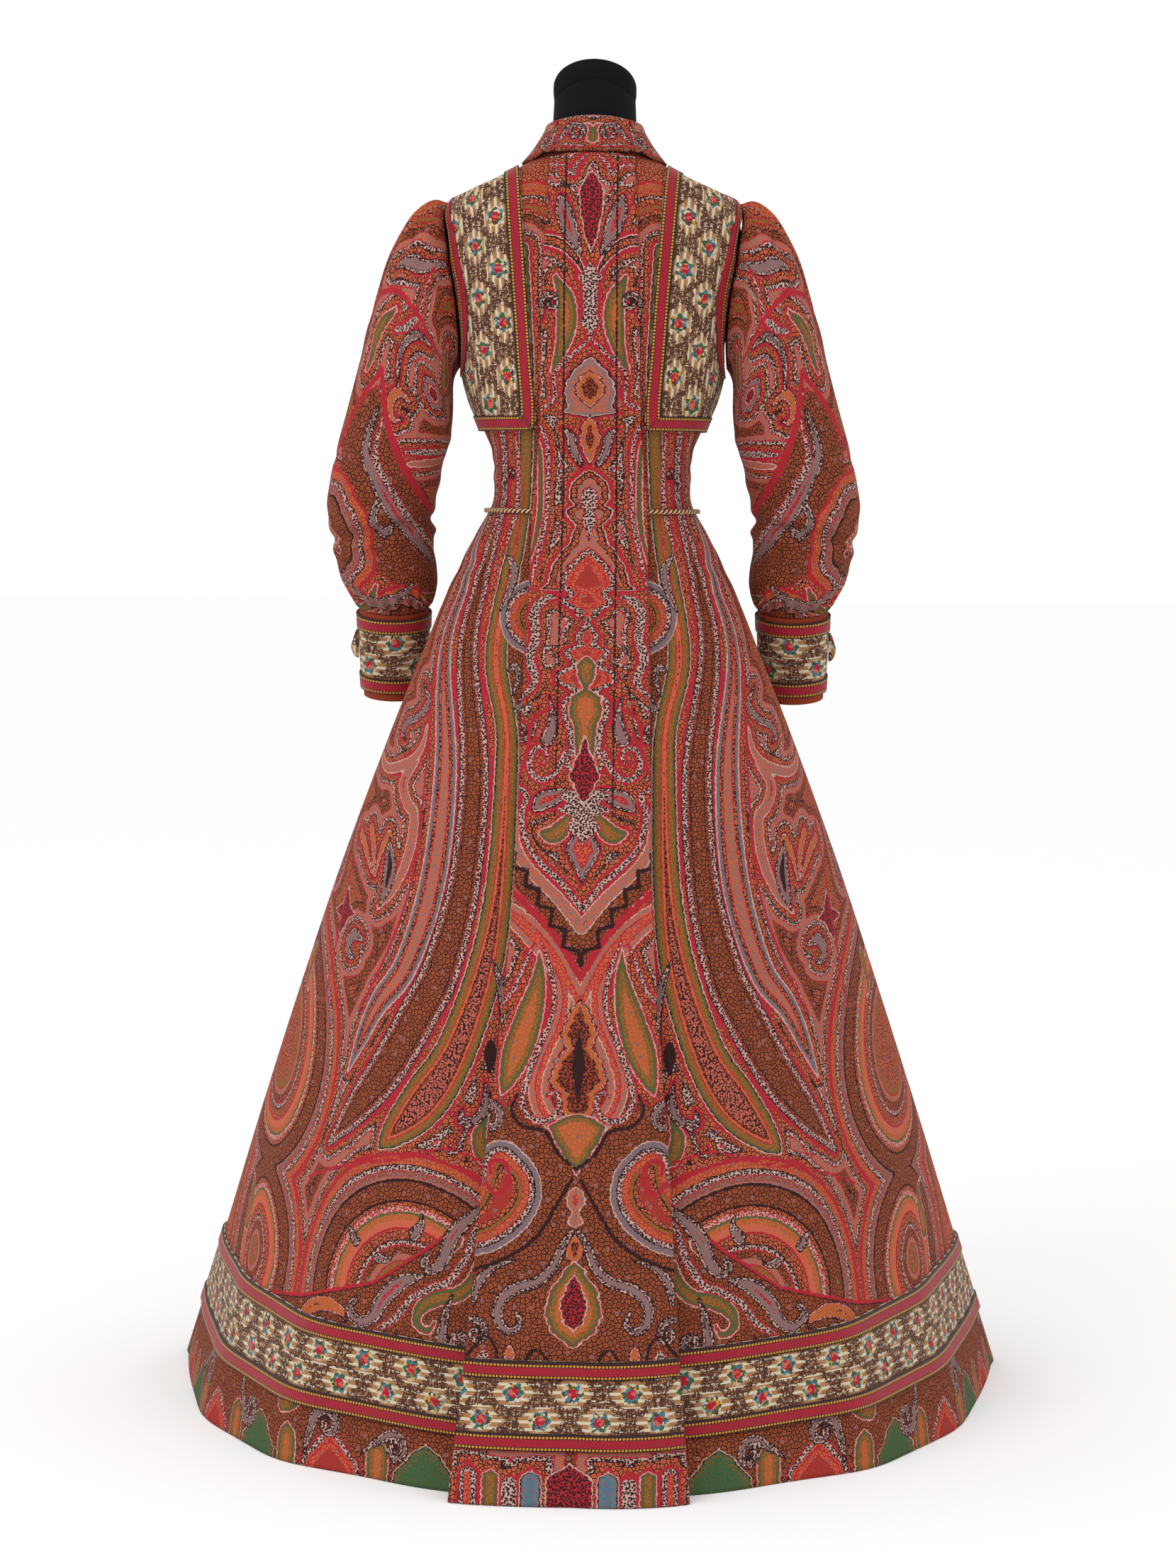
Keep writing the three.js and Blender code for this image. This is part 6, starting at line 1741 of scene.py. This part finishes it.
# Nodes that twist strands round a route: each strand is the route moved aside by a turning offset.
def twistedStrands():
    tree = bpy.data.node_groups.new("twistedStrands", "GeometryNodeTree")
    face = tree.interface
    face.new_socket("Geometry", in_out="INPUT", socket_type="NodeSocketGeometry")
    for name in ("Strand radius", "Offset", "Lay length", "Phase"):
        face.new_socket(name, in_out="INPUT", socket_type="NodeSocketFloat")
    face.new_socket("Finish", in_out="INPUT", socket_type="NodeSocketMaterial")
    face.new_socket("Geometry", in_out="OUTPUT", socket_type="NodeSocketGeometry")
    new, link = tree.nodes.new, tree.links.new
    start, end = new("NodeGroupInput"), new("NodeGroupOutput")
    curve = new("GeometryNodeMeshToCurve")
    fine = new("GeometryNodeResampleCurve")
    fine.mode = "LENGTH"
    fine.inputs["Length"].default_value = 0.0011
    link(start.outputs["Geometry"], curve.inputs["Mesh"])
    link(curve.outputs[0], fine.inputs["Curve"])
    parameter = new("GeometryNodeSplineParameter")
    tangent = new("GeometryNodeInputTangent")
    upright = new("ShaderNodeCombineXYZ")
    upright.inputs[2].default_value = 1.0
    aside = new("ShaderNodeVectorMath")
    aside.operation = "CROSS_PRODUCT"
    link(tangent.outputs[0], aside.inputs[0])
    link(upright.outputs[0], aside.inputs[1])

    def maths(operation, a, b=None):
        node = new("ShaderNodeMath")
        node.operation = operation
        for socket, value in zip(node.inputs, (a, b)):
            if hasattr(value, "is_output"):
                link(value, socket)
            elif value is not None:
                socket.default_value = value
        return node.outputs[0]

    turns = maths("DIVIDE", parameter.outputs["Length"], start.outputs["Lay length"])
    angle = maths("ADD", maths("MULTIPLY", turns, 2 * math.pi), start.outputs["Phase"])
    parts = []
    for wave, direction in (("COSINE", aside.outputs[0]), ("SINE", upright.outputs[0])):
        scaled = new("ShaderNodeVectorMath")
        scaled.operation = "SCALE"
        link(direction, scaled.inputs[0])
        link(maths("MULTIPLY", maths(wave, angle), start.outputs["Offset"]), scaled.inputs["Scale"])
        parts.append(scaled.outputs[0])
    total = new("ShaderNodeVectorMath")
    link(parts[0], total.inputs[0])
    link(parts[1], total.inputs[1])
    move = new("GeometryNodeSetPosition")
    link(fine.outputs[0], move.inputs["Geometry"])
    link(total.outputs[0], move.inputs["Offset"])
    ring = new("GeometryNodeCurvePrimitiveCircle")
    ring.inputs["Resolution"].default_value = 7
    link(start.outputs["Strand radius"], ring.inputs["Radius"])
    tube = new("GeometryNodeCurveToMesh")
    link(move.outputs[0], tube.inputs["Curve"])
    link(ring.outputs["Curve"], tube.inputs["Profile Curve"])
    tube.inputs["Fill Caps"].default_value = True
    whole = new("GeometryNodeRealizeInstances")
    finish = new("GeometryNodeSetMaterial")
    link(tube.outputs[0], whole.inputs[0])
    link(whole.outputs[0], finish.inputs["Geometry"])
    link(start.outputs["Finish"], finish.inputs["Material"])
    link(finish.outputs[0], end.inputs[0])
    return tree


def fromNodes(name, mesh, tree, values):
    source = bpy.data.objects.new(name + "_source", mesh)
    bpy.context.scene.collection.objects.link(source)
    modifier = source.modifiers.new("nodes", "NODES")
    modifier.node_group = tree
    for socket in tree.interface.items_tree:
        if socket.in_out == "INPUT" and socket.name in values:
            modifier[socket.identifier] = values[socket.name]
    bpy.context.view_layer.update()
    evaluated = source.evaluated_get(bpy.context.evaluated_depsgraph_get())
    made = bpy.data.meshes.new_from_object(evaluated)
    source.modifiers.remove(modifier)
    bpy.data.objects.remove(source)
    made.name = name
    for polygon in made.polygons:
        polygon.use_smooth = True
    piece = bpy.data.objects.new(name, made)
    bpy.context.scene.collection.objects.link(piece)
    return piece


def makeCord():
    tree = twistedStrands()
    route = cordRoute(400)
    strands = []
    for k in range(cord["strands"]):
        mesh = bpy.data.meshes.new("cordRoute")
        mesh.from_pydata(route.tolist(), [(i, i + 1) for i in range(len(route) - 1)], [])
        piece = fromNodes(f"waist_cord_strand_{k + 1}", mesh, tree, {
            "Strand radius": cord["strand"], "Offset": cord["radius"] - cord["strand"],
            "Lay length": cord["lay"],
            "Phase": k * 2 * math.pi / cord["strands"], "Finish": silkMaroon if k % 2 else silkGold})
        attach(piece, "root")
        strands.append(piece)
    for piece in strands:
        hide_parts("waist_cord")
    out = 2 * cloth["lay"] + cloth["wall"] + cord["knotRadius"]
    knotAt = bodyPoint(np.array(180.0), np.array(cord["level"]), out)
    rings = []
    for k in np.linspace(0.06, math.pi - 0.06, 26):
        around = np.linspace(0, 2 * np.pi, 33)[:-1]
        ridge = 1 + 0.09 * np.cos(around * 3 + k * 5)
        r = cord["knotRadius"] * math.sin(k) ** 0.6 * ridge * 0.93
        x = np.full(32, -cord["knotHalf"] * math.cos(k))
        rings.append(np.stack((x, r * np.cos(around), r * np.sin(around)), -1) + knotAt)
    knot = loft("waist_cord_knot_silk", rings, silkGold)
    declare(knot, ["waist_cord_knot"], "cord")
    steps = np.linalg.norm(np.diff(route, axis=0), axis=1).sum()
    print(f"waist cord made, {steps:.3f} m round the waist")


# Camera, lights and floor.

view = {
    "distance": 4.5, "azimuth": 1.7, "height": 1.05, "aim": 0.7, "aside": -0.0025, "roll": 0.4, "lens": 59.57,
    "sensor": 24.0,
}
studio = {"world": 1.0, "key": 44, "fill": 6, "floor": (0.985, 0.985, 0.985)}


def makeView():
    turn = math.radians(view["azimuth"])
    data = bpy.data.cameras.new("viewCamera")
    data.sensor_fit, data.sensor_height, data.lens = "VERTICAL", view["sensor"], view["lens"]
    camera = bpy.data.objects.new("viewCamera", data)
    bpy.context.scene.collection.objects.link(camera)
    right = Vector((math.cos(turn), math.sin(turn), 0))
    camera.location = Vector((math.sin(turn), -math.cos(turn), 0)) * view["distance"] + right * view["aside"]
    camera.location.z = view["height"]
    target = right * view["aside"] + Vector((0, 0, view["aim"]))
    gaze = (target - camera.location).to_track_quat("-Z", "Y")
    roll = Matrix.Rotation(math.radians(view["roll"]), 3, "Z")
    camera.rotation_euler = (gaze.to_matrix() @ roll).to_euler()
    bpy.context.scene.camera = camera


def makeLight(name, kind, power, size, place, target=(0, 0, 0.8)):
    data = bpy.data.lights.new(name, kind)
    data.energy, data.size = power, size
    lamp = bpy.data.objects.new(name, data)
    lamp.location = place
    lamp.rotation_euler = (Vector(target) - Vector(place)).to_track_quat("-Z", "Y").to_euler()
    bpy.context.scene.collection.objects.link(lamp)


def makeStudio():
    world = bpy.data.worlds.new("studioWorld")
    bpy.context.scene.world = world
    world.use_nodes = True
    world.node_tree.nodes["Background"].inputs["Color"].default_value = (1, 1, 1, 1)
    world.node_tree.nodes["Background"].inputs["Strength"].default_value = studio["world"]
    makeLight("keyLight", "AREA", studio["key"], 2.4, (-2.6, -3.2, 3.2))
    makeLight("fillLight", "AREA", studio["fill"], 3.0, (3.2, -2.6, 2.0))
    bpy.ops.mesh.primitive_plane_add(size=60, location=(0, 0, -0.0002))
    floor = bpy.context.object
    floor.name = "studioFloor"
    finish = bpy.data.materials.new("paleFloor")
    finish.use_nodes = True
    shader = finish.node_tree.nodes["Principled BSDF"]
    shader.inputs["Base Color"].default_value = (*studio["floor"], 1)
    shader.inputs["Roughness"].default_value = 0.9
    floor.data.materials.append(finish)
    bpy.context.scene.view_settings.view_transform = "Standard"


makePanels()
makePleat()
makeHem()
makeBoleros()
makeSleeves()
makeCollar()
makeForm()
makeCord()
makeView()
makeStudio()
print("studio made")
